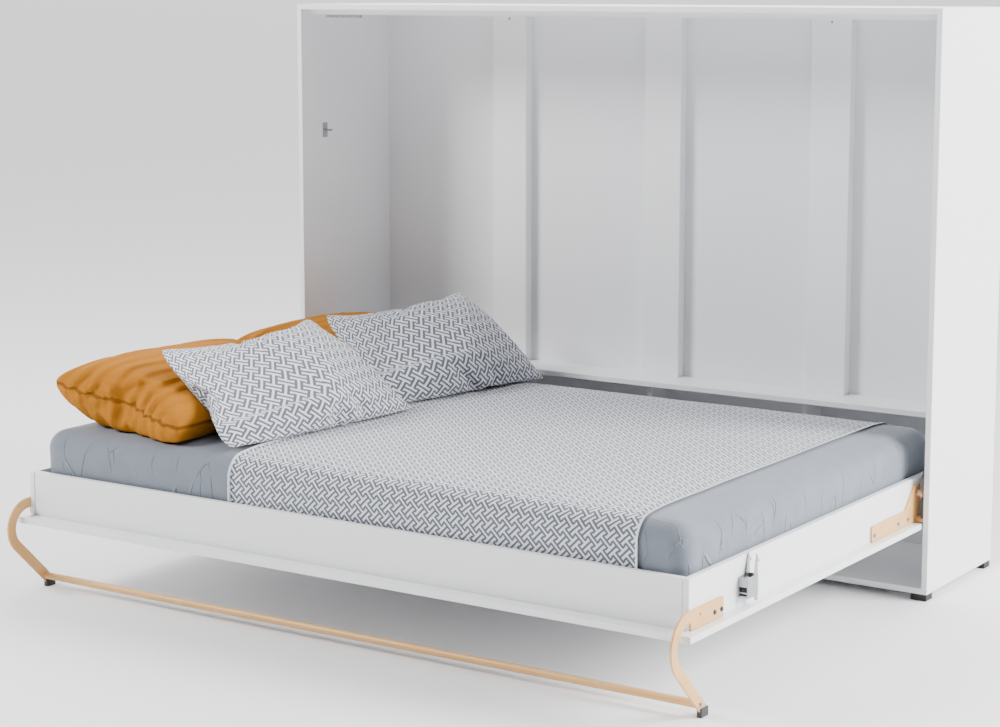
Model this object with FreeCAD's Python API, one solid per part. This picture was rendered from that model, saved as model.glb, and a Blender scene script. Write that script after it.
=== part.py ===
import FreeCAD, Part
import math
import os

# A horizontal wall bed: a shallow cabinet and a bed frame that folds up into it about a
# long axis near the floor. Lengths are in millimetres, +Z is up, X runs along the cabinet
# and -Y is the side a person stands on. The origin is on the floor, under the middle of
# the whole part with the bed folded down.

# Boards
board = 16.0
back_thickness = 3.0
edge_ease = 0.8

# Mattress and the play that lets it drop into the frame
mattress_length = 2000.0
mattress_depth = 1392.0
mattress_thickness = 180.0
mattress_corner_radius = 60.0
mattress_top_radius = 45.0
mattress_bottom_radius = 25.0
mattress_end_play = 3.0
mattress_side_play = 5.5
seat_gap = 0.3

# Bed frame
bed_clear_height = 197.0
rail_height = 120.0
rail_joint_gap = 1.5
front_rail_setback = 1.0
rail_side_room = 30.0
panel_front_lip = 41.0
panel_rear_lip = 2.0
panel_side_gap = 2.5
bearer_height = 38.0
bearer_width = 30.0
slat_count = 14
slat_width = 68.0
slat_thickness = 10.0
slat_end_play = 4.0

# Fold axis and the room that the fold needs
pivot_setback = 18.5
floor_sweep_gap = 3.0
top_sweep_gap = 4.0
pivot_pin_radius = 8.0
pivot_boss_radius = 13.0
pivot_boss_length = 14.0
running_clearance = 0.05
side_clearance = 0.3
notch_half_length = 20.0

# Cabinet
cabinet_depth = 460.0
foot_height = 18.0
inner_top_setback = 35.0
batten_width = 125.0
batten_depth = 36.0
batten_spacing = 553.0
shelf_top_height = 453.0
shelf_depth = 146.0
upright_spacing = 520.0
upright_setback = 49.0
wall_hole_radius = 4.0
wall_hole_drop = 14.0

# Cabinet feet, moulded with two grooves round them
foot_length = 46.0
foot_depth = 42.0
foot_inset = 1.0
foot_groove_depth = 1.5
foot_groove_height = 2.5
foot_groove_count = 2

# Catch strip under the inner top board, near the left end
catch_length = 130.0
catch_depth = 12.0
catch_drop = 9.0
catch_end_inset = 69.0
catch_front_inset = 2.0
catch_notch_length = 9.0
catch_notch_height = 4.0
catch_notch_count = 3

# Sheet steel and fasteners
plate_thickness = 5.0
bolt_head_radius = 6.5
bolt_head_height = 3.6
bolt_shank_radius = 3.0
bolt_shank_length = 12.0
bolt_crown_share = 0.62

# Hinge bracket on each end rail
bracket_reach = 272.0
bracket_lift = 1.0
bracket_height = 42.0
bracket_arm_foot = 60.0
bracket_arm_lead = 4.0
bracket_arm_rise = 100.0
bracket_rear = 34.0
bracket_corner = 8.0
bracket_ear_radius = 15.0
bracket_bolt_lift = 16.0
bracket_end_bolt_reach = 256.0
bracket_middle_bolt_reach = 106.0
bracket_near_bolt_reach = 44.0
bracket_hole_radius = 2.2
bracket_upper_hole_reach = 34.0
bracket_upper_hole_lift = 40.0
bracket_lower_hole_reach = 10.0
bracket_lower_hole_lift = 16.0

# Pivot plate let into each cabinet side
pivot_plate_thickness = 4.0
pivot_plate_front = 5.0
pivot_plate_depth = 62.0
pivot_plate_height = 120.0
pivot_plate_drop = 45.0
pivot_screw_inset = 11.0

# Leg, cut from plate: a flat that bolts to the end rail, a bend that passes round the lip
# of the bed panel, and a straight slant down to the foot
leg_width = 28.0
leg_outer_radius = 80.0
leg_bend_setout = 5.0
leg_plate_height = 48.0
leg_plate_length = 156.0
leg_plate_lift = 1.0
leg_plate_setback = 2.0
leg_corner = 7.0
leg_slant = 45.0
leg_end_height = 8.0
leg_end_length = 25.0
leg_front_bolt_reach = 113.0
leg_rear_bolt_reach = 146.0
leg_bolt_lift = 18.0
leg_hole_reach = 45.0
leg_hole_lift = 30.0
leg_hole_radius = 3.5

# Rubber foot pushed on each leg, and the bar that joins the legs
leg_foot_length = 33.0
leg_foot_width = 13.0
leg_foot_height = 21.0
leg_foot_overlap = 5.0
leg_foot_edge = 1.5
crossbar_radius = 9.75
crossbar_wall = 1.5
crossbar_height = 31.0
crossbar_plug_length = 30.0

# Gas strut on each side, in the room between the end rail and the cabinet side
strut_lever_rise = 76.0
strut_lever_lead = 4.5
strut_head_setback = 110.0
strut_head_rise = 340.0
strut_radius = 9.0
strut_wall = 2.0
strut_length = 184.0
strut_gland_length = 8.0
strut_rod_radius = 4.0
strut_rod_length = 178.0
strut_piston_length = 10.0
strut_eye_radius = 11.0
strut_eye_width = 11.0
strut_pin_radius = 5.0
strut_side_room = 13.5
strut_bolt_head_radius = 16.5
strut_bolt_head_height = 5.0
stud_plate_thickness = 3.0
stud_plate_depth = 34.0
stud_plate_height = 64.0
stud_cap_radius = 8.0
stud_cap_height = 2.0

# Spring latch on each end rail and its strike on the cabinet side
latch_setback = 236.0
latch_length = 50.0
latch_height = 49.0
latch_lift = 24.0
latch_wall = 1.5
latch_depth = 26.0
latch_window_height = 21.0
latch_window_lift = 5.0
latch_window_bar = 3.0
latch_window_sill = 5.5
latch_pivot_lead = 20.0
latch_pivot_rise = 29.0
latch_pin_radius = 2.5
hook_thickness = 1.5
hook_overhang = 2.0
hook_base = 19.0
hook_step = 2.0
hook_stem = 11.0
hook_apex_lead = 5.0
hook_rise = 51.0
hook_barb = 10.0
hook_barb_drop = 23.0
hook_pin_margin = 6.0
hook_tail = 13.0
hook_tail_width = 11.0
strike_pin_radius = 3.0
strike_plate_thickness = 2.0
strike_plate_depth = 22.0
strike_plate_height = 46.0

# Bedding
bedspread_left = -368.0
bedspread_right = 875.0
bedspread_thickness = 3.5
bedspread_front_drop = 140.0
bedspread_rear_drop = 90.0
mustard_length = 460.0
mustard_width = 640.0
mustard_thickness = 140.0
mustard_tilt = 13.0
mustard_front_inset = 362.0
mustard_front_reach = 245.0
mustard_front_turn = 4.0
mustard_pair_gap = 45.0
mustard_rear_reach = 275.0
mustard_rear_turn = 8.6
patterned_width = 670.0
patterned_thickness = 116.0
patterned_front_length = 405.0
patterned_front_inset = 406.0
patterned_front_reach = 660.0
patterned_front_lean_angle = 33.0
patterned_front_turn = 4.3
patterned_pair_gap = -12.0
patterned_rear_length = 385.0
patterned_rear_reach = 672.0
patterned_rear_lean_angle = 36.5
patterned_rear_turn = 8.6
pillow_side_draw = 26.0
pillow_corner_radius = 22.0
# height above the seam and size of each layer of a pillow, as shares of its half thickness and outline
pillow_layer_shares = ((0.0, 1.0), (0.28, 0.955), (0.58, 0.84), (0.84, 0.62), (1.0, 0.28))

# One overrun serves every cut
overrun = 2.0

# Places worked out from the sizes above: widths from the mattress outwards
bed_inner_half = mattress_length / 2 + mattress_end_play
bed_outer_half = bed_inner_half + board
cabinet_inner_half = bed_outer_half + rail_side_room
cabinet_half = cabinet_inner_half + board
panel_half = cabinet_inner_half - panel_side_gap

# Heights of the bed frame
rail_bottom = bed_clear_height + board
rail_top = rail_bottom + rail_height
slat_bottom = rail_bottom + bearer_height
mattress_bottom = slat_bottom + slat_thickness + seat_gap
mattress_top = mattress_bottom + mattress_thickness
bottom_board_top = foot_height + board

# The fold axis lies as far above the panel's underside as it lies behind the cabinet
# front, so the folded panel closes flush. Its rear edge just clears the bottom board.
pivot_height = bed_clear_height + pivot_setback
sweep_radius = pivot_height - bottom_board_top - floor_sweep_gap
panel_tail = pivot_setback + math.sqrt(sweep_radius ** 2 - pivot_setback ** 2)
bed_depth = mattress_depth + 2 * mattress_side_play + 2 * board
bed_overhang = bed_depth - (panel_tail - panel_rear_lip)
leg_reach = bed_overhang + leg_bend_setout + leg_outer_radius
top_underside = pivot_height + pivot_setback + leg_reach + top_sweep_gap
cabinet_height = top_underside + board
inner_top_underside = top_underside - board

# Depths, measured from the middle of the whole part
cabinet_front = (leg_reach - cabinet_depth) / 2
cabinet_back = cabinet_front + cabinet_depth
back_front = cabinet_back - back_thickness
batten_front = back_front - batten_depth
shelf_front = back_front - shelf_depth
pivot_y = cabinet_front + pivot_setback
bed_front = cabinet_front - bed_overhang
bed_rear = bed_front + bed_depth
panel_front = bed_front - panel_front_lip
panel_rear = cabinet_front + panel_tail
mattress_front = bed_front + board + mattress_side_play
mattress_rear = mattress_front + mattress_depth

# Fold hardware
pivot_screw_bite = board - pivot_plate_thickness - overrun
pivot_screw_head = panel_side_gap / 2
plate_outer = bed_outer_half + plate_thickness
strut_x = cabinet_inner_half - strut_side_room
strut_lever_y = pivot_y - strut_lever_lead
strut_lever_z = pivot_height + strut_lever_rise
strut_head_y = cabinet_front + strut_head_setback
strut_head_z = pivot_height + strut_head_rise
latch_front = bed_front + latch_setback
latch_bottom = rail_bottom + latch_lift
latch_top = latch_bottom + latch_height
latch_outer = bed_outer_half + latch_depth
latch_pivot_y = latch_front + latch_length - latch_pivot_lead
latch_pivot_z = latch_bottom + latch_pivot_rise
hook_back = latch_front + latch_length + hook_overhang
hook_stem_back = hook_back - hook_step
hook_catch_z = latch_top + hook_rise - hook_barb_drop
leg_top = rail_bottom + leg_plate_height
leg_centre_y = bed_front - leg_bend_setout
leg_centre_z = leg_top - leg_outer_radius
leg_inner_radius = leg_outer_radius - leg_width


def vector(x, y, z):
    return FreeCAD.Vector(x, y, z)


def block(low, high):
    """A plain block between two corners."""
    return Part.makeBox(high[0] - low[0], high[1] - low[1], high[2] - low[2], vector(*low))


def eased_board(low, high):
    """A laminated board with its edges just broken."""
    solid = block(low, high)
    return solid.makeChamfer(edge_ease, solid.Edges)


def edges_along(solid, axis):
    """The edges of a block that run along one axis."""
    return [edge for edge in solid.Edges if round(abs(edge.tangentAt(edge.FirstParameter)[axis])) == 1]


def rod_along_x(radius, x_from, x_to, y, z):
    """A round bar along X."""
    return Part.makeCylinder(radius, abs(x_to - x_from), vector(min(x_from, x_to), y, z), vector(1, 0, 0))


def mirrored(solid):
    """The left-hand twin of a right-hand piece."""
    return solid.mirror(vector(0, 0, 0), vector(1, 0, 0))


def line(a, b):
    return Part.makeLine(vector(0, *a), vector(0, *b))


def arc(a, middle, b):
    return Part.Arc(vector(0, *a), vector(0, *middle), vector(0, *b)).toShape()


def around(centre, radius, degrees):
    """A point on a circle in the side view, as (y, z)."""
    angle = math.radians(degrees)
    return (centre[0] + radius * math.cos(angle), centre[1] + radius * math.sin(angle))


def plate(edges, x_from, thickness):
    """A flat plate cut to an outline in the side view."""
    face = Part.Face(Part.Wire(edges))
    face.translate(vector(x_from, 0, 0))
    return face.extrude(vector(thickness, 0, 0))


def polygon(points):
    """The straight edges of a closed outline in the side view."""
    return [line(a, b) for a, b in zip(points, points[1:] + points[:1])]


def crowned_bolt(x_seat, y, z, head_radius, head_height, shank_length):
    """A bolt with a crowned head, driven towards the middle of the bed."""
    crown = head_radius * bolt_crown_share
    head = Part.makeCone(head_radius, crown, head_height, vector(x_seat, y, z), vector(1, 0, 0))
    shank = rod_along_x(bolt_shank_radius, x_seat - shank_length, x_seat, y, z)
    return head.fuse(shank)


def bored_for_bolts(solid, x_seat, places):
    """A piece with the holes that its bolts fill."""
    for y, z in places:
        x_low = x_seat - bolt_shank_length
        solid = solid.cut(rod_along_x(bolt_shank_radius, x_low, x_seat + overrun, y, z))
    return solid


# Cabinet carcass

def pivot_plate_corners(x_low, x_high):
    low_z = pivot_height - pivot_plate_drop
    low = (x_low, cabinet_front + pivot_plate_front, low_z)
    high = (x_high, low[1] + pivot_plate_depth, low_z + pivot_plate_height)
    return low, high


def pivot_screw_places():
    low, high = pivot_plate_corners(0, 0)
    ys = (low[1] + pivot_screw_inset, high[1] - pivot_screw_inset)
    zs = (low[2] + pivot_screw_inset, high[2] - pivot_screw_inset)
    return [(y, z) for y in ys for z in zs]


def cabinet_side():
    """A side board stands on the bottom board and takes the pivot plate in a pocket."""
    side = eased_board((cabinet_inner_half, cabinet_front, bottom_board_top),
                       (cabinet_half, back_front, top_underside))
    low, high = pivot_plate_corners(cabinet_inner_half - overrun, cabinet_inner_half + pivot_plate_thickness)
    side = side.cut(block(low, high))
    seat = cabinet_inner_half + pivot_plate_thickness
    for y, z in pivot_screw_places():
        side = side.cut(rod_along_x(bolt_shank_radius, seat - overrun, seat + pivot_screw_bite, y, z))
    return side


def cabinet_board(z_low):
    return eased_board((-cabinet_half, cabinet_front, z_low), (cabinet_half, back_front, z_low + board))


def inner_top_board():
    front = cabinet_front + inner_top_setback
    return eased_board((-cabinet_inner_half, front, inner_top_underside),
                       (cabinet_inner_half, back_front, top_underside))


def back_shelf():
    return eased_board((-cabinet_inner_half, shelf_front, shelf_top_height - board),
                       (cabinet_inner_half, back_front, shelf_top_height))


def wall_hole(solid, x):
    """A hole for a wall screw, just under the inner top board."""
    z = inner_top_underside - wall_hole_drop
    length = batten_depth + back_thickness + 2 * overrun
    start = vector(x, batten_front - overrun, z)
    return solid.cut(Part.makeCylinder(wall_hole_radius, length, start, vector(0, 1, 0)))


def back_panel():
    panel = block((-cabinet_half + edge_ease, back_front, foot_height + edge_ease),
                  (cabinet_half - edge_ease, cabinet_back, cabinet_height - edge_ease))
    for x in (-batten_spacing, batten_spacing):
        panel = wall_hole(panel, x)
    return panel


def back_batten(x):
    return eased_board((x - batten_width / 2, batten_front, shelf_top_height),
                       (x + batten_width / 2, back_front, inner_top_underside))


def shelf_upright(x):
    return eased_board((x - board / 2, shelf_front + upright_setback, bottom_board_top),
                       (x + board / 2, back_front, shelf_top_height - board))


def cabinet_foot(x, y):
    """A moulded foot, grooved all round."""
    low = (x - foot_length / 2, y - foot_depth / 2, 0)
    high = (x + foot_length / 2, y + foot_depth / 2, foot_height)
    foot = eased_board(low, high)
    step = foot_height / (foot_groove_count + 1)
    for index in range(foot_groove_count):
        z = step * (index + 1) - foot_groove_height / 2
        ring = block((low[0] - overrun, low[1] - overrun, z),
                     (high[0] + overrun, high[1] + overrun, z + foot_groove_height))
        core = block((low[0] + foot_groove_depth, low[1] + foot_groove_depth, z),
                     (high[0] - foot_groove_depth, high[1] - foot_groove_depth, z + foot_groove_height))
        foot = foot.cut(ring.cut(core))
    return foot


def cabinet_feet():
    x = cabinet_half - foot_inset - foot_length / 2
    front = cabinet_front + foot_inset + foot_depth / 2
    rear = back_front - foot_inset - foot_depth / 2
    return Part.makeCompound([cabinet_foot(side * x, y) for side in (-1, 1) for y in (front, rear)])


def catch_strip():
    """A folded steel strip under the inner top board, notched along its lower edge."""
    left = -cabinet_inner_half + catch_end_inset
    front = cabinet_front + inner_top_setback + catch_front_inset
    strip = block((left, front, inner_top_underside - catch_drop),
                  (left + catch_length, front + catch_depth, inner_top_underside))
    pitch = catch_length / (2 * catch_notch_count)
    for index in range(catch_notch_count):
        x = left + pitch * (index + 1) - catch_notch_length / 2
        bottom = inner_top_underside - catch_drop
        notch = block((x, front - overrun, bottom - overrun),
                      (x + catch_notch_length, front + catch_depth + overrun, bottom + catch_notch_height))
        strip = strip.cut(notch)
    return strip


# Pivot plates, strut studs and strikes on the cabinet sides

def pivot_plate():
    """A steel plate, flush with the cabinet side, that carries the fold pin."""
    low, high = pivot_plate_corners(cabinet_inner_half, cabinet_inner_half + pivot_plate_thickness)
    base = block(low, high)
    for y, z in pivot_screw_places():
        base = base.cut(rod_along_x(bolt_shank_radius, low[0] - overrun, high[0] + overrun, y, z))
    collar_end = plate_outer + pivot_boss_length + side_clearance
    collar = rod_along_x(pivot_boss_radius, collar_end, cabinet_inner_half, pivot_y, pivot_height)
    pin = rod_along_x(pivot_pin_radius, bed_outer_half + side_clearance, collar_end, pivot_y, pivot_height)
    return base.fuse([collar, pin]).removeSplitter()


def pivot_plate_screws():
    """Low-headed screws that hold both pivot plates."""
    screws = []
    for y, z in pivot_screw_places():
        seat = cabinet_inner_half
        length = pivot_plate_thickness + pivot_screw_bite
        shank = rod_along_x(bolt_shank_radius, seat, seat + length, y, z)
        head = Part.makeCone(bolt_head_radius * bolt_crown_share, bolt_head_radius, pivot_screw_head,
                             vector(seat - pivot_screw_head, y, z), vector(1, 0, 0))
        screw = shank.fuse(head)
        screws += [screw, mirrored(screw)]
    return Part.makeCompound(screws)


def strut_stud():
    """A plate on the cabinet side with the stud that the strut hangs on."""
    face = cabinet_inner_half - stud_plate_thickness
    half_depth = stud_plate_depth / 2
    half_height = stud_plate_height / 2
    base = block((face, strut_head_y - half_depth, strut_head_z - half_height),
                 (cabinet_inner_half, strut_head_y + half_depth, strut_head_z + half_height))
    base = base.makeFillet(half_depth / 2, edges_along(base, 0))
    stud_end = strut_x - strut_eye_width / 2 - side_clearance
    stud = rod_along_x(strut_pin_radius, stud_end, face, strut_head_y, strut_head_z)
    cap = rod_along_x(stud_cap_radius, stud_end - stud_cap_height, stud_end, strut_head_y, strut_head_z)
    return base.fuse([stud, cap]).removeSplitter()


def folded_place(y, z):
    """Where a point of the open bed lies once the bed is folded up."""
    return (pivot_y + z - pivot_height, pivot_height + pivot_y - y)


def strike():
    """A pin on a small plate; the latch hooks drop behind it when the bed is up."""
    catch_y, stem_z = folded_place(hook_stem_back, hook_catch_z)
    y = catch_y - strike_pin_radius - side_clearance
    z = stem_z - strike_pin_radius - side_clearance
    face = cabinet_inner_half - strike_plate_thickness
    base = block((face, y - strike_plate_depth / 2, z - strike_plate_height / 2),
                 (cabinet_inner_half, y + strike_plate_depth / 2, z + strike_plate_height / 2))
    pin = rod_along_x(strike_pin_radius, bed_outer_half + latch_wall, face, y, z)
    return base.fuse(pin).removeSplitter()


# Bed frame

def bed_panel():
    """The board that is the underside of the open bed and the front of the closed one."""
    panel = eased_board((-panel_half, panel_front, bed_clear_height), (panel_half, panel_rear, rail_bottom))
    notch = block((bed_outer_half, pivot_y - notch_half_length, bed_clear_height - overrun),
                  (panel_half + overrun, pivot_y + notch_half_length, rail_bottom + overrun))
    return panel.cut([notch, mirrored(notch)])


def bracket_bolt_places():
    z = rail_bottom + bracket_lift + bracket_bolt_lift
    reaches = (bracket_end_bolt_reach, bracket_middle_bolt_reach, bracket_near_bolt_reach)
    return [(cabinet_front - reach, z) for reach in reaches]


def leg_bolt_places():
    z = rail_bottom + leg_plate_lift + leg_bolt_lift
    return [(bed_front + reach, z) for reach in (leg_front_bolt_reach, leg_rear_bolt_reach)]


def end_rail():
    """An end rail runs the whole depth of the frame and carries the hinge, latch and leg."""
    rail = eased_board((bed_inner_half, bed_front, rail_bottom), (bed_outer_half, bed_rear, rail_top))
    return bored_for_bolts(rail, plate_outer, bracket_bolt_places() + leg_bolt_places())


def cross_rail(y_low):
    half = bed_inner_half - rail_joint_gap
    return eased_board((-half, y_low, rail_bottom), (half, y_low + board, rail_top))


def slat_bearers():
    """Three bearers on the panel: one along each long rail and one down the middle."""
    half = bed_inner_half - rail_joint_gap
    front = bed_front + board + rail_joint_gap
    rear = bed_rear - board - rail_joint_gap - bearer_width
    middle = (front + rear) / 2
    return Part.makeCompound([block((-half, y, rail_bottom), (half, y + bearer_width, slat_bottom))
                              for y in (front, middle, rear)])


def bed_slats():
    """Spring slats laid across the bearers at an even pitch."""
    front = bed_front + board + slat_end_play
    rear = bed_rear - board - slat_end_play
    pitch = 2 * bed_inner_half / slat_count
    slats = []
    for index in range(slat_count):
        x = -bed_inner_half + pitch * index + (pitch - slat_width) / 2
        slats.append(block((x, front, slat_bottom), (x + slat_width, rear, slat_bottom + slat_thickness)))
    return Part.makeCompound(slats)


# Hinge brackets

def hinge_bracket():
    """A plate bolted to the end rail: a long flat, an arm up to the strut, and the pivot ear."""
    low = rail_bottom + bracket_lift
    high = low + bracket_height
    front = cabinet_front - bracket_reach
    rear = cabinet_front + bracket_rear
    corner = bracket_corner
    slant = bracket_corner * (1 - math.sqrt(0.5))
    arm_top = low + bracket_arm_rise
    edges = [line((front + corner, low), (rear, low)),
             line((rear, low), (rear, arm_top)),
             line((rear, arm_top), (cabinet_front - bracket_arm_lead, arm_top)),
             line((cabinet_front - bracket_arm_lead, arm_top), (cabinet_front - bracket_arm_foot, high)),
             line((cabinet_front - bracket_arm_foot, high), (front + corner, high)),
             arc((front + corner, high), (front + slant, high - slant), (front, high - corner)),
             line((front, high - corner), (front, low + corner)),
             arc((front, low + corner), (front + slant, low + slant), (front + corner, low))]
    flat = plate(edges, bed_outer_half, plate_thickness)
    ear = rod_along_x(bracket_ear_radius, bed_outer_half, plate_outer, pivot_y, pivot_height)
    boss = rod_along_x(pivot_boss_radius, plate_outer, plate_outer + pivot_boss_length, pivot_y, pivot_height)
    bore = rod_along_x(pivot_pin_radius + running_clearance, bed_outer_half - overrun,
                       plate_outer + pivot_boss_length + overrun, pivot_y, pivot_height)
    bracket = flat.fuse([ear, boss]).removeSplitter().cut(bore)
    upper_hole = (cabinet_front - bracket_upper_hole_reach, low + bracket_upper_hole_lift)
    lower_hole = (cabinet_front - bracket_lower_hole_reach, low + bracket_lower_hole_lift)
    for y, z in (upper_hole, lower_hole):
        hole = rod_along_x(bracket_hole_radius, bed_outer_half - overrun, plate_outer + overrun, y, z)
        bracket = bracket.cut(hole)
    return bored_for_bolts(bracket, plate_outer, bracket_bolt_places())


def plate_bolts(places):
    """Crowned bolts through a plate into the end rail, on both sides of the bed."""
    bolts = []
    for y, z in places:
        bolt = crowned_bolt(plate_outer, y, z, bolt_head_radius, bolt_head_height, bolt_shank_length)
        bolts += [bolt, mirrored(bolt)]
    return Part.makeCompound(bolts)


# Legs and the bar between them

def crossbar_place():
    """The bar sits on the middle line of the leg's slant."""
    middle = around((leg_centre_y, leg_centre_z), (leg_outer_radius + leg_inner_radius) / 2, 180 + leg_slant)
    fall = middle[1] - crossbar_height
    return (middle[0] + fall / math.tan(math.radians(leg_slant)), crossbar_height)


def leg_end_places():
    """Front and rear of the leg's end, inside its foot."""
    outer = around((leg_centre_y, leg_centre_z), leg_outer_radius, 180 + leg_slant)
    front = outer[0] + (outer[1] - leg_end_height) / math.tan(math.radians(leg_slant))
    return front, front + leg_end_length


def leg():
    centre = (leg_centre_y, leg_centre_z)
    low = rail_bottom + leg_plate_lift
    rear = bed_front + leg_plate_length
    plate_front = bed_front + leg_plate_setback
    corner = leg_corner
    slant = corner * (1 - math.sqrt(0.5))
    outer_top = around(centre, leg_outer_radius, 90)
    outer_side = around(centre, leg_outer_radius, 90 + (90 + leg_slant) / 2)
    outer_low = around(centre, leg_outer_radius, 180 + leg_slant)
    inner_top = around(centre, leg_inner_radius, 90)
    inner_side = around(centre, leg_inner_radius, 90 + (90 + leg_slant) / 2)
    inner_low = around(centre, leg_inner_radius, 180 + leg_slant)
    end_front, end_rear = leg_end_places()
    end_rear_z = inner_low[1] - (end_rear - inner_low[0]) * math.tan(math.radians(leg_slant))
    edges = [line((rear - corner, leg_top), outer_top),
             arc(outer_top, outer_side, outer_low),
             line(outer_low, (end_front, leg_end_height)),
             line((end_front, leg_end_height), (end_rear, leg_end_height)),
             line((end_rear, leg_end_height), (end_rear, end_rear_z)),
             line((end_rear, end_rear_z), inner_low),
             arc(inner_low, inner_side, inner_top),
             line(inner_top, (plate_front, inner_top[1])),
             line((plate_front, inner_top[1]), (plate_front, low + corner)),
             arc((plate_front, low + corner), (plate_front + slant, low + slant),
                 (plate_front + corner, low)),
             line((plate_front + corner, low), (rear - corner, low)),
             arc((rear - corner, low), (rear - slant, low + slant), (rear, low + corner)),
             line((rear, low + corner), (rear, leg_top - corner)),
             arc((rear, leg_top - corner), (rear - slant, leg_top - slant), (rear - corner, leg_top))]
    solid = plate(edges, bed_outer_half, plate_thickness)
    hole_z = low + leg_hole_lift
    solid = solid.cut(rod_along_x(leg_hole_radius, bed_outer_half - overrun, plate_outer + overrun,
                                  bed_front + leg_hole_reach, hole_z))
    return bored_for_bolts(solid, plate_outer, leg_bolt_places() + [crossbar_place()])


def leg_foot():
    """A rubber foot with a slot that the leg's end fills."""
    front, _ = leg_end_places()
    low_y = front - leg_foot_overlap
    middle_x = bed_outer_half + plate_thickness / 2
    foot = block((middle_x - leg_foot_width / 2, low_y, 0),
                 (middle_x + leg_foot_width / 2, low_y + leg_foot_length, leg_foot_height))
    return foot.makeFillet(leg_foot_edge, edges_along(foot, 2)).cut(leg())


def crossbar():
    """A round tube between the legs, plugged at both ends for its screws."""
    y, z = crossbar_place()
    tube = rod_along_x(crossbar_radius, -bed_outer_half, bed_outer_half, y, z)
    inside = bed_outer_half - crossbar_plug_length
    tube = tube.cut(rod_along_x(crossbar_radius - crossbar_wall, -inside, inside, y, z))
    for side in (-1, 1):
        seat = side * plate_outer
        tube = tube.cut(rod_along_x(bolt_shank_radius, seat, seat - side * bolt_shank_length, y, z))
    return tube


# Gas struts

def strut_axis():
    """Unit direction from the strut's head down to its lever, and the distance between them."""
    span = vector(0, strut_lever_y - strut_head_y, strut_lever_z - strut_head_z)
    return span.normalize(), math.hypot(strut_lever_y - strut_head_y, strut_lever_z - strut_head_z)


def strut_head():
    return vector(strut_x, strut_head_y, strut_head_z)


def strut_eye(y, z, bore):
    eye = rod_along_x(strut_eye_radius, strut_x - strut_eye_width / 2, strut_x + strut_eye_width / 2, y, z)
    return eye, rod_along_x(bore, strut_x - strut_eye_width, strut_x + strut_eye_width, y, z)


def strut_cylinder():
    """The gas cylinder, hung by its eye from the stud on the cabinet side."""
    axis, _ = strut_axis()
    head = strut_head()
    tube_length = strut_length - strut_eye_radius
    tube = Part.makeCylinder(strut_radius, tube_length, head + axis * strut_eye_radius, axis)
    bore_start = strut_eye_radius + strut_wall
    bore_length = strut_length - bore_start - strut_gland_length
    chamber = Part.makeCylinder(strut_radius - strut_wall, bore_length, head + axis * bore_start, axis)
    gland = Part.makeCylinder(strut_rod_radius + running_clearance, strut_gland_length + 2 * overrun,
                              head + axis * (strut_length - strut_gland_length - overrun), axis)
    eye, bore = strut_eye(strut_head_y, strut_head_z, strut_pin_radius + running_clearance)
    return eye.fuse(tube).cut([chamber, gland, bore])


def strut_rod():
    """The rod and its piston; the eye at its foot takes the crowned bolt."""
    axis, span = strut_axis()
    lever = strut_head() + axis * span
    rod = Part.makeCylinder(strut_rod_radius, strut_rod_length, lever, axis * -1)
    piston = Part.makeCylinder(strut_radius - strut_wall - side_clearance, strut_piston_length,
                               lever - axis * strut_rod_length, axis)
    eye, bore = strut_eye(strut_lever_y, strut_lever_z, strut_pin_radius)
    return eye.fuse([rod, piston]).cut(bore)


def strut_bolt():
    """The crowned bolt through the strut's eye, with the spacer that stands it off the bracket."""
    inner = strut_x - strut_eye_width / 2
    outer = strut_x + strut_eye_width / 2
    seat = plate_outer + side_clearance
    spacer = rod_along_x(strut_eye_radius, seat, inner, strut_lever_y, strut_lever_z)
    shank = rod_along_x(strut_pin_radius, inner, outer, strut_lever_y, strut_lever_z)
    crown = strut_bolt_head_radius * bolt_crown_share
    head = Part.makeCone(strut_bolt_head_radius, crown, strut_bolt_head_height,
                         vector(outer, strut_lever_y, strut_lever_z), vector(1, 0, 0))
    return spacer.fuse([shank, head]).removeSplitter()


# Spring latches

def latch_housing():
    """A folded steel box on the end rail, open at the back and bottom, with a barred window in front."""
    wall = latch_wall
    rear = latch_front + latch_length
    box = block((bed_outer_half, latch_front, latch_bottom), (latch_outer, rear, latch_top))
    hollow = block((bed_outer_half + wall, latch_front + wall, latch_bottom - overrun),
                   (latch_outer - wall, rear + overrun, latch_top + overrun))
    window_low = latch_bottom + latch_window_lift
    window = block((bed_outer_half + 2 * wall, latch_front - overrun, window_low),
                   (latch_outer - 2 * wall, latch_front + wall + overrun, window_low + latch_window_height))
    bar_low = window_low + latch_window_sill
    bar = block((bed_outer_half + wall, latch_front, bar_low), (latch_outer - wall, latch_front + wall,
                                                                bar_low + latch_window_bar))
    box = box.cut([hollow, window]).fuse(bar).removeSplitter()
    pin_hole = rod_along_x(
        latch_pin_radius, bed_outer_half, latch_outer + overrun, latch_pivot_y, latch_pivot_z)
    return box.cut(pin_hole)


def latch_pin():
    return rod_along_x(latch_pin_radius, bed_outer_half, latch_outer, latch_pivot_y, latch_pivot_z)


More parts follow.
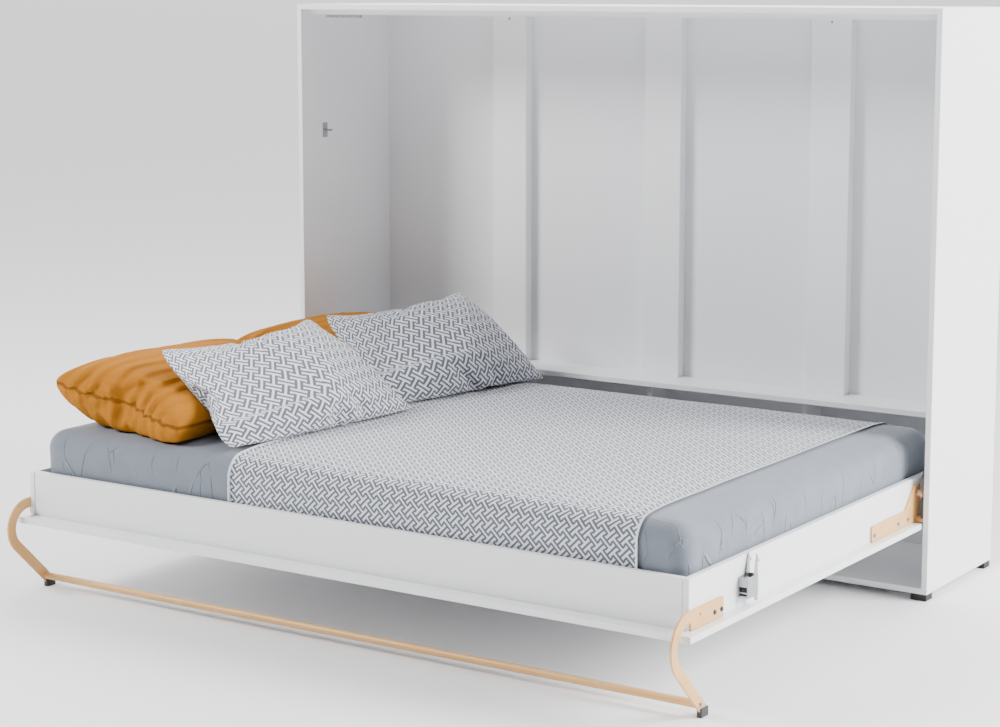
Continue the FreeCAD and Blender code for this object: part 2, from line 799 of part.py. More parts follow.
def latch_hook():
    """Two barbed prongs joined by a web, turning on the pin, with tails to press for release."""
    back = hook_back
    base_front = back - hook_base
    pin_front = latch_pivot_y - latch_pin_radius - hook_pin_margin
    stem_front = hook_stem_back - hook_stem
    apex = (stem_front + hook_apex_lead, latch_top + hook_rise)
    low = latch_bottom - hook_tail
    outline = polygon([(back, latch_top), (hook_stem_back, hook_catch_z),
                       (hook_stem_back + hook_barb, hook_catch_z), apex, (stem_front, hook_catch_z),
                       (base_front, latch_top), (pin_front, latch_pivot_z),
                       (base_front, latch_bottom), (back - hook_tail_width, low), (back, low)])
    inner_x = bed_outer_half + latch_wall + side_clearance
    outer_x = latch_outer - latch_wall - side_clearance - hook_thickness
    prongs = [plate(outline, x, hook_thickness) for x in (inner_x, outer_x)]
    web_low = latch_pivot_z + latch_pin_radius + hook_pin_margin
    web = block((inner_x, back - hook_thickness, web_low), (outer_x + hook_thickness, back, latch_top))
    hook = prongs[0].fuse([prongs[1], web]).removeSplitter()
    return hook.cut(rod_along_x(latch_pin_radius + running_clearance, bed_outer_half - overrun,
                                latch_outer + overrun, latch_pivot_y, latch_pivot_z))


# Bedding

def mattress():
    """A sprung mattress in its fitted sheet, soft along every edge."""
    half = mattress_length / 2
    body = block((-half, mattress_front, mattress_bottom), (half, mattress_rear, mattress_top))
    body = body.makeFillet(mattress_corner_radius, edges_along(body, 2))
    top = [edge for edge in body.Edges if min(v.Z for v in edge.Vertexes) > mattress_top - seat_gap]
    body = body.makeFillet(mattress_top_radius, top)
    bottom = [edge for edge in body.Edges if max(v.Z for v in edge.Vertexes) < mattress_bottom + seat_gap]
    return body.makeFillet(mattress_bottom_radius, bottom)


def bedspread_layer(offset):
    """The outline of the mattress over the top and down both sides, moved out by an offset."""
    radius = mattress_top_radius + offset
    front = mattress_front - offset
    rear = mattress_rear + offset
    top = mattress_top + offset
    front_centre = (front + radius, top - radius)
    rear_centre = (rear - radius, top - radius)
    return [line((front, mattress_top - bedspread_front_drop), (front, top - radius)),
            arc((front, top - radius), around(front_centre, radius, 135), (front + radius, top)),
            line((front + radius, top), (rear - radius, top)),
            arc((rear - radius, top), around(rear_centre, radius, 45), (rear, top - radius)),
            line((rear, top - radius), (rear, mattress_top - bedspread_rear_drop))]


def bedspread():
    """A band of cloth over the mattress, tucked down behind the front and rear rails."""
    inner = bedspread_layer(seat_gap)
    outer = bedspread_layer(seat_gap + bedspread_thickness)
    ends = []
    for index in (0, -1):
        inner_end = inner[index].Vertexes[index].Point
        outer_end = outer[index].Vertexes[index].Point
        ends.append(Part.makeLine(inner_end, outer_end))
    outline = Part.__sortEdges__(inner + outer + ends)
    return plate(outline, bedspread_left, bedspread_right - bedspread_left)


def pillow_outline(length, width, share, z):
    """A pillow's outline at one layer: sides drawn in between rounded corners."""
    half_l = length / 2 * share
    half_w = width / 2 * share
    draw = pillow_side_draw * share
    corner = pillow_corner_radius * share
    knee = corner * (1 - math.sqrt(0.5))
    edges = []
    for turn in range(4):
        a, b = (half_l, half_w) if turn % 2 == 0 else (half_w, half_l)
        start = vector(a, -b + corner, z)
        middle = vector(a - draw, 0, z)
        end = vector(a, b - corner, z)
        bend = vector(a - knee, b - knee, z)
        after = vector(a - corner, b, z)
        pair = [Part.Arc(start, middle, end).toShape(), Part.Arc(end, bend, after).toShape()]
        for edge in pair:
            edge.rotate(vector(0, 0, 0), vector(0, 0, 1), 90 * turn)
        edges += pair
    return Part.Wire(edges)


def pillow(length, width, thickness):
    """A filled pillow: crowned on both faces, thin at its seam."""
    half = thickness / 2
    below = [(-rise * half, share) for rise, share in reversed(pillow_layer_shares[1:])]
    above = [(rise * half, share) for rise, share in pillow_layer_shares]
    wires = [pillow_outline(length, width, share, z) for z, share in below + above]
    return Part.makeLoft(wires, True, True)


def set_down(solid, surface):
    """Lower or raise a piece until its lowest point rests on a level surface."""
    solid.translate(vector(0, 0, surface + seat_gap - solid.BoundBox.ZMin))
    return solid


def mustard_pillow(reach, middle_y, turn):
    """A pillow lying at the head of the bed, its outer edge plumped up."""
    solid = pillow(mustard_length, mustard_width, mustard_thickness)
    solid.rotate(vector(0, 0, 0), vector(0, 1, 0), mustard_tilt)
    solid.rotate(vector(0, 0, 0), vector(0, 0, 1), -turn)
    solid.translate(vector(reach - mattress_length / 2, middle_y, 0))
    return set_down(solid, mattress_top)


def patterned_pillow(length, reach, middle_y, lean, turn):
    """A pillow leaning back on the flat one, turned a little, its lower edge on the bed."""
    solid = pillow(length, patterned_width, patterned_thickness)
    solid.translate(vector(-length / 2, 0, 0))
    solid.rotate(vector(0, 0, 0), vector(0, 1, 0), lean)
    solid.rotate(vector(0, 0, 0), vector(0, 0, 1), -turn)
    solid.translate(vector(reach - mattress_length / 2, middle_y, 0))
    return set_down(solid, mattress_top + seat_gap + bedspread_thickness)


mustard_front_y = mattress_front + mustard_front_inset
mustard_rear_y = mustard_front_y + mustard_width + mustard_pair_gap
patterned_front_y = mattress_front + patterned_front_inset
patterned_rear_y = patterned_front_y + patterned_width + patterned_pair_gap

pieces = {
    "cabinet_side_right": cabinet_side(),
    "cabinet_side_left": mirrored(cabinet_side()),
    "cabinet_top": cabinet_board(top_underside),
    "cabinet_bottom": cabinet_board(foot_height),
    "inner_top_board": inner_top_board(),
    "back_panel": back_panel(),
    "back_batten_left": wall_hole(back_batten(-batten_spacing), -batten_spacing),
    "back_batten_middle": back_batten(0),
    "back_batten_right": wall_hole(back_batten(batten_spacing), batten_spacing),
    "back_shelf": back_shelf(),
    "shelf_upright_left": shelf_upright(-upright_spacing),
    "shelf_upright_middle": shelf_upright(0),
    "shelf_upright_right": shelf_upright(upright_spacing),
    "catch_strip": catch_strip(),
    "cabinet_feet": cabinet_feet(),
    "pivot_plate_right": pivot_plate(),
    "pivot_plate_left": mirrored(pivot_plate()),
    "pivot_plate_screws": pivot_plate_screws(),
    "strut_stud_right": strut_stud(),
    "strut_stud_left": mirrored(strut_stud()),
    "strike_right": strike(),
    "strike_left": mirrored(strike()),
    "bed_panel": bed_panel(),
    "end_rail_right": end_rail(),
    "end_rail_left": mirrored(end_rail()),
    "front_rail": cross_rail(bed_front + front_rail_setback),
    "rear_rail": cross_rail(bed_rear - board),
    "slat_bearers": slat_bearers(),
    "bed_slats": bed_slats(),
    "hinge_bracket_right": hinge_bracket(),
    "hinge_bracket_left": mirrored(hinge_bracket()),
    "hinge_bracket_bolts": plate_bolts(bracket_bolt_places()),
    "leg_right": leg(),
    "leg_left": mirrored(leg()),
    "leg_bolts": plate_bolts(leg_bolt_places()),
    "leg_foot_right": leg_foot(),
    "leg_foot_left": mirrored(leg_foot()),
    "crossbar": crossbar(),
    "crossbar_screws": plate_bolts([crossbar_place()]),
    "strut_cylinder_right": strut_cylinder(),
    "strut_cylinder_left": mirrored(strut_cylinder()),
    "strut_rod_right": strut_rod(),
    "strut_rod_left": mirrored(strut_rod()),
    "strut_bolt_right": strut_bolt(),
    "strut_bolt_left": mirrored(strut_bolt()),
    "latch_housing_right": latch_housing(),
    "latch_housing_left": mirrored(latch_housing()),
    "latch_pin_right": latch_pin(),
    "latch_pin_left": mirrored(latch_pin()),
    "latch_hook_right": latch_hook(),
    "latch_hook_left": mirrored(latch_hook()),
    "mattress": mattress(),
    "bedspread": bedspread(),
    "mustard_pillow_front": mustard_pillow(mustard_front_reach, mustard_front_y, mustard_front_turn),
    "mustard_pillow_rear": mustard_pillow(mustard_rear_reach, mustard_rear_y, mustard_rear_turn),
    "patterned_pillow_front": patterned_pillow(
        patterned_front_length, patterned_front_reach, patterned_front_y,
        patterned_front_lean_angle, patterned_front_turn),
    "patterned_pillow_rear": patterned_pillow(
        patterned_rear_length, patterned_rear_reach, patterned_rear_y,
        patterned_rear_lean_angle, patterned_rear_turn),
}

os.makedirs("parts", exist_ok=True)
for name, solid in pieces.items():
    solid.exportStep(os.path.join("parts", name + ".step"))
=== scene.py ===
import math

import bmesh
import bpy
from mathutils import Matrix, Vector, noise
from mathutils.bvhtree import BVHTree


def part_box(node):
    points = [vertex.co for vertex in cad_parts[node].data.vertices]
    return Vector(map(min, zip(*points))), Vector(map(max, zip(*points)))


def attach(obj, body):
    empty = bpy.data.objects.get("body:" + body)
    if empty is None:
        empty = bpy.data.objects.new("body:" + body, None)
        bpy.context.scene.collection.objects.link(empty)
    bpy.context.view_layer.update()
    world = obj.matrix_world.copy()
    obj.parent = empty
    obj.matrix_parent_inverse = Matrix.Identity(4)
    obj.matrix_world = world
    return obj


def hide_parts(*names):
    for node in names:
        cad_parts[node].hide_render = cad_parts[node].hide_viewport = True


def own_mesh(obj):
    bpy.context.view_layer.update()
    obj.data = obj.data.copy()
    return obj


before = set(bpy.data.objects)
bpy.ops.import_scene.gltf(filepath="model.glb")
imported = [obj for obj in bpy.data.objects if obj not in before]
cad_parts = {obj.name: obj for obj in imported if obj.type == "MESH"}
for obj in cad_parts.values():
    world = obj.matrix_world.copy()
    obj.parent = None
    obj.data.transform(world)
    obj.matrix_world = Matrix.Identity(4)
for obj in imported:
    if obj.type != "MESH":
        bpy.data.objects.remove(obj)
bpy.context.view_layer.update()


# Cabinet carcass and bed boards. Melamine-faced chipboard, sawn to size, its cut edges closed
# with a thin plastic band and just broken, then joined with cams and dowels that don't show.
mm = 0.001
pebble_size = 1.1 * mm
pebble_height = 0.4 * mm
film_patch = 350 * mm


def linear(code):
    """An sRGB hex colour as linear RGBA."""
    shares = [int(code[i:i + 2], 16) / 255 for i in (1, 3, 5)]
    return [c / 12.92 if c <= 0.04045 else ((c + 0.055) / 1.055) ** 2.4 for c in shares] + [1.0]


def add(tree, kind, inputs, **settings):
    """A node with its settings; each input is a value, or the socket that feeds it."""
    made = tree.nodes.new(kind)
    for name, value in settings.items():
        setattr(made, name, value)
    for name, value in inputs.items():
        if isinstance(value, bpy.types.NodeSocket):
            tree.links.new(value, made.inputs[name])
        else:
            made.inputs[name].default_value = value
    return made


def new_material(name):
    """An empty node material and its tree; the finish is built in there."""
    made = bpy.data.materials.new(name)
    made.use_nodes = True
    made.node_tree.nodes.clear()
    return made, made.node_tree


def dress(material, *names):
    """Give pieces of the frame a finish."""
    for name in names:
        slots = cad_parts[name].data.materials
        slots.clear()
        slots.append(material)


# White melamine, pressed against a fine pearl plate: matt, with a faint pebble of about 1 mm
# and a film that is never quite even in sheen.
melamine, tree = new_material("pressed_white_melamine")
place = add(tree, "ShaderNodeTexCoord", {}).outputs["Object"]
pebble = add(tree, "ShaderNodeTexNoise", {"Vector": place, "Scale": 1 / pebble_size, "Detail": 3.0})
film = add(tree, "ShaderNodeTexNoise", {"Vector": place, "Scale": 1 / film_patch, "Detail": 4.0})
tone = add(tree, "ShaderNodeMix", {
    "Factor": film.outputs["Fac"], "A": linear("#ECEDEF"), "B": linear("#F2F3F5")}, data_type="RGBA")
dull = add(tree, "ShaderNodeMapRange", {"Value": film.outputs["Fac"], "To Min": 0.36, "To Max": 0.46})
relief = add(tree, "ShaderNodeBump", {
    "Height": pebble.outputs["Fac"], "Strength": 0.06, "Distance": pebble_height})
shader = add(tree, "ShaderNodeBsdfPrincipled", {
    "Base Color": tone.outputs["Result"], "Roughness": dull.outputs["Result"], "IOR": 1.5,
    "Normal": relief.outputs["Normal"]})
add(tree, "ShaderNodeOutputMaterial", {"Surface": shader.outputs["BSDF"]})
dress(melamine, "cabinet_side_left", "cabinet_side_right", "cabinet_top", "cabinet_bottom",
      "inner_top_board", "back_batten_left", "back_batten_middle", "back_batten_right", "back_shelf",
      "shelf_upright_left", "shelf_upright_middle", "shelf_upright_right", "bed_panel", "end_rail_left",
      "end_rail_right", "front_rail", "rear_rail")


# Back panel. Thin hardboard, pressed from wood fibre and stapled to the back of the boards. It is
# painted white on its face and left raw brown on the wall's side.
fibre_length = 4 * mm
fibre_height = 0.5 * mm
painted_roughness = 0.55
raw_roughness = 0.8
least_wall_facing = 0.5

# Painted hardboard: duller than the boards, with the pressed fibre just showing through the paint
# as a fine mottle, and plainly in the raw brown.
hardboard, tree = new_material("painted_hardboard")
coords = add(tree, "ShaderNodeTexCoord", {}).outputs
fibre = add(tree, "ShaderNodeTexNoise", {
    "Vector": coords["Object"], "Scale": 1 / fibre_length, "Detail": 5.0})
paint = add(tree, "ShaderNodeMix", {
    "Factor": fibre.outputs["Fac"], "A": linear("#E6E7EA"), "B": linear("#EBECEF")}, data_type="RGBA")
raw = add(tree, "ShaderNodeMix", {
    "Factor": fibre.outputs["Fac"], "A": linear("#6A4D31"), "B": linear("#8A6743")}, data_type="RGBA")
facing = add(tree, "ShaderNodeSeparateXYZ", {"Vector": coords["Normal"]}).outputs["Y"]
to_wall = add(tree, "ShaderNodeMath", {0: facing, 1: least_wall_facing}, operation="GREATER_THAN").outputs[0]
tone = add(tree, "ShaderNodeMix", {
    "Factor": to_wall, "A": paint.outputs["Result"], "B": raw.outputs["Result"]}, data_type="RGBA")
dull = add(tree, "ShaderNodeMapRange", {
    "Value": to_wall, "To Min": painted_roughness, "To Max": raw_roughness})
relief = add(tree, "ShaderNodeBump", {
    "Height": fibre.outputs["Fac"], "Strength": 0.05, "Distance": fibre_height})
shader = add(tree, "ShaderNodeBsdfPrincipled", {
    "Base Color": tone.outputs["Result"], "Roughness": dull.outputs["Result"], "IOR": 1.48,
    "Normal": relief.outputs["Normal"]})
add(tree, "ShaderNodeOutputMaterial", {"Surface": shader.outputs["BSDF"]})
dress(hardboard, "back_panel")


# Cabinet feet. Black polypropylene blocks, moulded with grooves in a spark-eroded tool and pushed
# under the corners of the carcass.
eroded_grain = 0.8 * mm
eroded_depth = 0.3 * mm

# Moulded polypropylene: nearly black, its gloss broken up by the fine grain of the tool, which is
# drawn 0.8 mm wide so that it shows.
polypropylene, tree = new_material("moulded_polypropylene")
place = add(tree, "ShaderNodeTexCoord", {}).outputs["Object"]
grain = add(tree, "ShaderNodeTexNoise", {"Vector": place, "Scale": 1 / eroded_grain, "Detail": 2.0})
tone = add(tree, "ShaderNodeMix", {
    "Factor": grain.outputs["Fac"], "A": linear("#1B1C1E"), "B": linear("#2A2B2E")}, data_type="RGBA")
relief = add(tree, "ShaderNodeBump", {
    "Height": grain.outputs["Fac"], "Strength": 0.25, "Distance": eroded_depth})
shader = add(tree, "ShaderNodeBsdfPrincipled", {
    "Base Color": tone.outputs["Result"], "Roughness": 0.5, "IOR": 1.49,
    "Normal": relief.outputs["Normal"]})
add(tree, "ShaderNodeOutputMaterial", {"Surface": shader.outputs["BSDF"]})
dress(polypropylene, "cabinet_feet")


# Pivot plates, studs, strut rods, strikes, latches, screws and the catch strip. Mild steel, stamped
# or turned, zinc plated and then screwed or pressed into place.
streak_width = 2 * mm
streak_length = 30 * mm
zinc_patch = 12 * mm

# Zinc plated steel: grey metal with a soft streak along the rolling direction and cloudy brightness.
zinc, tree = new_material("zinc_plated_steel")
place = add(tree, "ShaderNodeTexCoord", {}).outputs["Object"]
rolled = add(tree, "ShaderNodeMapping", {
    "Vector": place, "Scale": (1 / streak_width, 1 / streak_width, 1 / streak_length)})
streak = add(tree, "ShaderNodeTexNoise", {"Vector": rolled.outputs["Vector"], "Scale": 1.0, "Detail": 3.0})
cloud = add(tree, "ShaderNodeTexNoise", {"Vector": place, "Scale": 1 / zinc_patch, "Detail": 3.0})
tone = add(tree, "ShaderNodeMix", {
    "Factor": cloud.outputs["Fac"], "A": linear("#8E9194"), "B": linear("#B2B5B8")}, data_type="RGBA")
dull = add(tree, "ShaderNodeMapRange", {"Value": streak.outputs["Fac"], "To Min": 0.28, "To Max": 0.46})
shader = add(tree, "ShaderNodeBsdfPrincipled", {
    "Base Color": tone.outputs["Result"], "Metallic": 1.0, "Roughness": dull.outputs["Result"]})
add(tree, "ShaderNodeOutputMaterial", {"Surface": shader.outputs["BSDF"]})
dress(zinc, "catch_strip", "pivot_plate_left", "pivot_plate_right", "pivot_plate_screws", "strut_stud_left",
      "strut_stud_right", "strike_left", "strike_right", "hinge_bracket_bolts", "crossbar_screws",
      "latch_housing_left", "latch_housing_right", "latch_pin_left", "latch_pin_right", "latch_hook_left",
      "latch_hook_right", "strut_rod_left", "strut_rod_right")


# Painted shade in the latch windows. A plate of black polypropylene is set in each latch box just behind
# its window; it stands in for the shade inside the box, so that the windows look dark.
window_shade_gap = 0.0022
window_shade_thickness = 0.0012
window_shade_side = 0.002
window_shade_low = 0.003
window_shade_high = 0.0285
window_shade_edge = 0.0004


def piece_from(mesh, name, material):
    """A smooth object made from a mesh under construction."""
    data = bpy.data.meshes.new(name)
    mesh.to_mesh(data)
    mesh.free()
    for polygon in data.polygons:
        polygon.use_smooth = True
    made = bpy.data.objects.new(name, data)
    bpy.context.scene.collection.objects.link(made)
    data.materials.append(material)
    return made


for side in ("left", "right"):
    low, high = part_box("latch_housing_" + side)
    window_shade_from = Vector((low.x + window_shade_side, low.y + window_shade_gap, low.z + window_shade_low))
    window_shade_to = Vector((high.x - window_shade_side, low.y + window_shade_gap + window_shade_thickness, low.z + window_shade_high))
    mesh = bmesh.new()
    bmesh.ops.create_cube(mesh, size=1)
    for vert in mesh.verts:
        share = vert.co + Vector((0.5, 0.5, 0.5))
        vert.co = [a + (b - a) * s for a, b, s in zip(window_shade_from, window_shade_to, share)]
    bmesh.ops.bevel(mesh, geom=mesh.edges, offset=window_shade_edge, segments=2, affect="EDGES")
    # The black plate is painted shade behind the latch's window.
    window_shade = piece_from(mesh, "latch_window_shade_" + side, polypropylene)
    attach(window_shade, "bed")


# Gas strut cylinders. Drawn steel tube, sprayed dark and baked, that swings on a stud in the
# cabinet's side and holds the bed's weight with compressed gas.
peel_size = 3 * mm
peel_height = 0.4 * mm

# Baked dark paint: satin, nearly black and a little warm, with a slight orange peel.
cylinder_paint, tree = new_material("baked_dark_paint")
place = add(tree, "ShaderNodeTexCoord", {}).outputs["Object"]
peel = add(tree, "ShaderNodeTexNoise", {"Vector": place, "Scale": 1 / peel_size, "Detail": 2.0})
tone = add(tree, "ShaderNodeMix", {
    "Factor": peel.outputs["Fac"], "A": linear("#2C2523"), "B": linear("#3A322E")}, data_type="RGBA")
relief = add(tree, "ShaderNodeBump", {
    "Height": peel.outputs["Fac"], "Strength": 0.1, "Distance": peel_height})
shader = add(tree, "ShaderNodeBsdfPrincipled", {
    "Base Color": tone.outputs["Result"], "Roughness": 0.34, "IOR": 1.5, "Coat Weight": 0.3,
    "Normal": relief.outputs["Normal"]})
add(tree, "ShaderNodeOutputMaterial", {"Surface": shader.outputs["BSDF"]})
dress(cylinder_paint, "strut_cylinder_left", "strut_cylinder_right")


# Crowned bolts at the lower ends of the gas struts. Turned steel, zinc plated and dipped in a
# chromate bath, screwed through the rod's eye into the hinge bracket.
passivated_patch = 5 * mm

# Passivated zinc: metal under a warm coppery film that is patchy from the bath.
passivated, tree = new_material("passivated_zinc")
place = add(tree, "ShaderNodeTexCoord", {}).outputs["Object"]
cloud = add(tree, "ShaderNodeTexNoise", {"Vector": place, "Scale": 1 / passivated_patch, "Detail": 3.0})
tone = add(tree, "ShaderNodeMix", {
    "Factor": cloud.outputs["Fac"], "A": linear("#BE8560"), "B": linear("#D8A782")}, data_type="RGBA")
dull = add(tree, "ShaderNodeMapRange", {"Value": cloud.outputs["Fac"], "To Min": 0.25, "To Max": 0.4})
shader = add(tree, "ShaderNodeBsdfPrincipled", {
    "Base Color": tone.outputs["Result"], "Metallic": 1.0, "Roughness": dull.outputs["Result"]})
add(tree, "ShaderNodeOutputMaterial", {"Surface": shader.outputs["BSDF"]})
dress(passivated, "strut_bolt_left", "strut_bolt_right")


# Hinge brackets, legs and the pull bar. Steel plate cut to shape, flat bar bent for the legs and a
# round tube between them, powder coated in cream and bolted to the bed frame.
coat_peel_size = 2.5 * mm
coat_peel_height = 0.5 * mm
coat_patch = 80 * mm
coat_edge = 0.8 * mm

# Cream powder coat: an even satin film with a fine orange peel, which rounds off the cut edges.
powder_coat, tree = new_material("cream_powder_coat")
place = add(tree, "ShaderNodeTexCoord", {}).outputs["Object"]
peel = add(tree, "ShaderNodeTexNoise", {"Vector": place, "Scale": 1 / coat_peel_size, "Detail": 3.0})
film = add(tree, "ShaderNodeTexNoise", {"Vector": place, "Scale": 1 / coat_patch, "Detail": 2.0})
tone = add(tree, "ShaderNodeMix", {
    "Factor": film.outputs["Fac"], "A": linear("#DCA562"), "B": linear("#E8B87A")}, data_type="RGBA")
round_edge = add(tree, "ShaderNodeBevel", {"Radius": coat_edge}, samples=4)
relief = add(tree, "ShaderNodeBump", {
    "Height": peel.outputs["Fac"], "Strength": 0.12, "Distance": coat_peel_height,
    "Normal": round_edge.outputs["Normal"]})
shader = add(tree, "ShaderNodeBsdfPrincipled", {
    "Base Color": tone.outputs["Result"], "Roughness": 0.38, "IOR": 1.5,
    "Normal": relief.outputs["Normal"]})
add(tree, "ShaderNodeOutputMaterial", {"Surface": shader.outputs["BSDF"]})
dress(powder_coat, "hinge_bracket_left", "hinge_bracket_right", "leg_left", "leg_right", "crossbar")


# Bolts of the legs. Round-headed steel screws, heated and quenched in oil to blacken them, that
# hold the legs to the bed's end rails.
blacked_patch = 3 * mm

# Oil-blacked steel: dark metal, half dull, with a faint blue cloudiness from the heat.
blacked_steel, tree = new_material("oil_blacked_steel")
place = add(tree, "ShaderNodeTexCoord", {}).outputs["Object"]
cloud = add(tree, "ShaderNodeTexNoise", {"Vector": place, "Scale": 1 / blacked_patch, "Detail": 3.0})
tone = add(tree, "ShaderNodeMix", {
    "Factor": cloud.outputs["Fac"], "A": linear("#4B5058"), "B": linear("#666C76")}, data_type="RGBA")
dull = add(tree, "ShaderNodeMapRange", {"Value": cloud.outputs["Fac"], "To Min": 0.35, "To Max": 0.5})
shader = add(tree, "ShaderNodeBsdfPrincipled", {
    "Base Color": tone.outputs["Result"], "Metallic": 1.0, "Roughness": dull.outputs["Result"]})
add(tree, "ShaderNodeOutputMaterial", {"Surface": shader.outputs["BSDF"]})
dress(blacked_steel, "leg_bolts")


# Feet of the legs. Black rubber caps, moulded and pushed over the ends of the legs, so that the
# bed stands without scratching the floor.
rubber_grain = 1.5 * mm
rubber_depth = 0.4 * mm

# Moulded rubber: dark grey and dull, with a grain that holds a little dust, drawn 1.5 mm wide so
# that it shows.
rubber, tree = new_material("moulded_rubber")
place = add(tree, "ShaderNodeTexCoord", {}).outputs["Object"]
grain = add(tree, "ShaderNodeTexNoise", {"Vector": place, "Scale": 1 / rubber_grain, "Detail": 3.0})
tone = add(tree, "ShaderNodeMix", {
    "Factor": grain.outputs["Fac"], "A": linear("#2E2F31"), "B": linear("#454648")}, data_type="RGBA")
relief = add(tree, "ShaderNodeBump", {
    "Height": grain.outputs["Fac"], "Strength": 0.3, "Distance": rubber_depth})
shader = add(tree, "ShaderNodeBsdfPrincipled", {
    "Base Color": tone.outputs["Result"], "Roughness": 0.72, "IOR": 1.52,
    "Normal": relief.outputs["Normal"]})
add(tree, "ShaderNodeOutputMaterial", {"Surface": shader.outputs["BSDF"]})
dress(rubber, "leg_foot_left", "leg_foot_right")


# Slats and their bearers. Softwood strips, sawn and planed, the bearers screwed to the rails and
# the slats laid across on them.
ring_width = 12 * mm
ring_length = 250 * mm
ring_height = 0.6 * mm

# Planed softwood: pale and bare, with long soft grain along the slats.
pine, tree = new_material("planed_softwood")
place = add(tree, "ShaderNodeTexCoord", {}).outputs["Object"]
along_grain = add(tree, "ShaderNodeMapping", {
    "Vector": place, "Scale": (1 / ring_width, 1 / ring_length, 1 / ring_width)})
figure = add(tree, "ShaderNodeTexNoise", {
    "Vector": along_grain.outputs["Vector"], "Scale": 1.0, "Detail": 6.0, "Distortion": 0.6})
tone = add(tree, "ShaderNodeMix", {
    "Factor": figure.outputs["Fac"], "A": linear("#CFAE82"), "B": linear("#E6CFA6")}, data_type="RGBA")
relief = add(tree, "ShaderNodeBump", {
    "Height": figure.outputs["Fac"], "Strength": 0.12, "Distance": ring_height})
shader = add(tree, "ShaderNodeBsdfPrincipled", {
    "Base Color": tone.outputs["Result"], "Roughness": 0.62, "IOR": 1.5,
    "Normal": relief.outputs["Normal"]})
add(tree, "ShaderNodeOutputMaterial", {"Surface": shader.outputs["BSDF"]})
dress(pine, "bed_slats", "slat_bearers")


# Mattress in its fitted sheet. A sprung core and foam, wrapped in a grey knitted cotton sheet that
# elastic pulls tight under the edge, so it lies smooth on top and puckers at the corners.
mattress_low, mattress_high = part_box("mattress")
mattress_middle = (mattress_low + mattress_high) / 2
mattress_half = (mattress_high - mattress_low) / 2
half_length, half_width, half_height = mattress_half
plan_round = 0.055
edge_round = 0.05
sheet_inset = 0.003
pucker_depth = 0.005
puckers_per_metre = Vector((17, 17, 5))
pucker_side_share = 0.25
pucker_corner_power = 8
lump_height = 0.0015
lumps_per_metre = 3.1
crown_rise = 0.012
crown_reach = 0.16
cells_along = 140
cells_across = 98
cells_up = 16
weld_reach = 0.0005


def block_skin(point):
    """A point of the plain block on the rounded mattress, and the way out of it there."""
    inner = Vector([max(-h + plan_round, min(h - plan_round, c)) for c, h in zip(point.xy, mattress_half.xy)])
    away = point.xy - inner
    reach = max(abs(away.x), abs(away.y))
    heading = away.normalized()
    core_reach = min(reach, plan_round - edge_round)
    core_height = max(-half_height + edge_round, min(half_height - edge_round, point.z))
    turn = Vector((reach - core_reach, point.z - core_height)).normalized()
    spread = inner + heading * (core_reach + turn.x * edge_round)
    out = Vector((heading.x * turn.x, heading.y * turn.x, turn.y))
    return Vector((spread.x, spread.y, core_height + turn.y * edge_round)), out


def crown(x, y):
    """How far the top swells there, above its soft edge."""
    inset = min(half_length - abs(x), half_width - abs(y))
    return crown_rise * (1 - max(0.0, 1 - max(0.0, inset) / crown_reach) ** 2)


def mattress_point(point):
    """The sheet there: tight on top, with upright puckers on the sides that deepen at the corners."""
    skin, out = block_skin(point)
    skin.z += crown(skin.x, skin.y) * max(0.0, skin.z / half_height)
    side = 1 - max(0.0, out.z) ** 2
    to_corner = (abs(skin.x) / half_length * abs(skin.y) / half_width) ** pucker_corner_power
    gathered = min(1.0, to_corner + pucker_side_share)
    pucker = noise.noise(skin * puckers_per_metre) * pucker_depth * side * gathered
    lump = noise.noise(skin * lumps_per_metre) * lump_height
    return skin + out * (pucker + lump - sheet_inset), out


def face_grid(mesh, corner, across, up, steps_across, steps_up):
    """A grid of quads over one face of the block."""
    rows = [[mesh.verts.new(corner + across * (i / steps_across) + up * (j / steps_up))
             for i in range(steps_across + 1)] for j in range(steps_up + 1)]
    for j in range(steps_up):
        for i in range(steps_across):
            mesh.faces.new((rows[j][i], rows[j][i + 1], rows[j + 1][i + 1], rows[j + 1][i]))


mesh = bmesh.new()
along = Vector((2 * half_length, 0, 0))
across = Vector((0, 2 * half_width, 0))
up = Vector((0, 0, 2 * half_height))
for sign in (-1, 1):
    face_grid(mesh, Vector((-half_length, -half_width, sign * half_height)), along, across,
              cells_along, cells_across)
    face_grid(mesh, Vector((-half_length, sign * half_width, -half_height)), along, up, cells_along, cells_up)
    face_grid(mesh, Vector((sign * half_length, -half_width, -half_height)), across, up,
              cells_across, cells_up)
bmesh.ops.remove_doubles(mesh, verts=mesh.verts, dist=weld_reach)
bmesh.ops.recalc_face_normals(mesh, faces=mesh.faces)
for vert in mesh.verts:
    vert.co = mattress_point(vert.co)[0] + mattress_middle

# Grey cotton jersey, knitted: soft, no gloss, with a rib and sharp little upright creases on its
# sides where it was folded in its pack, each crease painted lighter as a painted highlight. The rib
# is drawn 4 mm apart so that it shows, from a wave that at scale 1 repeats every wave_repeat.
rib_spacing = 3.95 * mm
rib_height = 0.5 * mm
wave_repeat = math.tau / 20
crease_spacing = 80 * mm
crease_half_width = 1.6 * mm
crease_height = 4.2 * mm
crease_wander = 30 * mm
wander_size = 90 * mm
upright_share = 0.22
crease_highlight_share = 0.1
pile_patch = 60 * mm
jersey, tree = new_material("grey_cotton_jersey")
place = add(tree, "ShaderNodeTexCoord", {}).outputs["Object"]
rib = add(tree, "ShaderNodeTexWave", {
    "Vector": place, "Scale": wave_repeat / rib_spacing, "Distortion": 1.5, "Detail": 2.0})
wander = add(tree, "ShaderNodeTexNoise", {"Vector": place, "Scale": 1 / wander_size, "Detail": 3.0})
bent = add(tree, "ShaderNodeVectorMath", {
    0: wander.outputs["Color"], 1: [crease_wander] * 3, 2: place}, operation="MULTIPLY_ADD")
drawn_up = add(tree, "ShaderNodeMapping", {"Vector": bent.outputs["Vector"], "Scale": (1, 1, upright_share)})
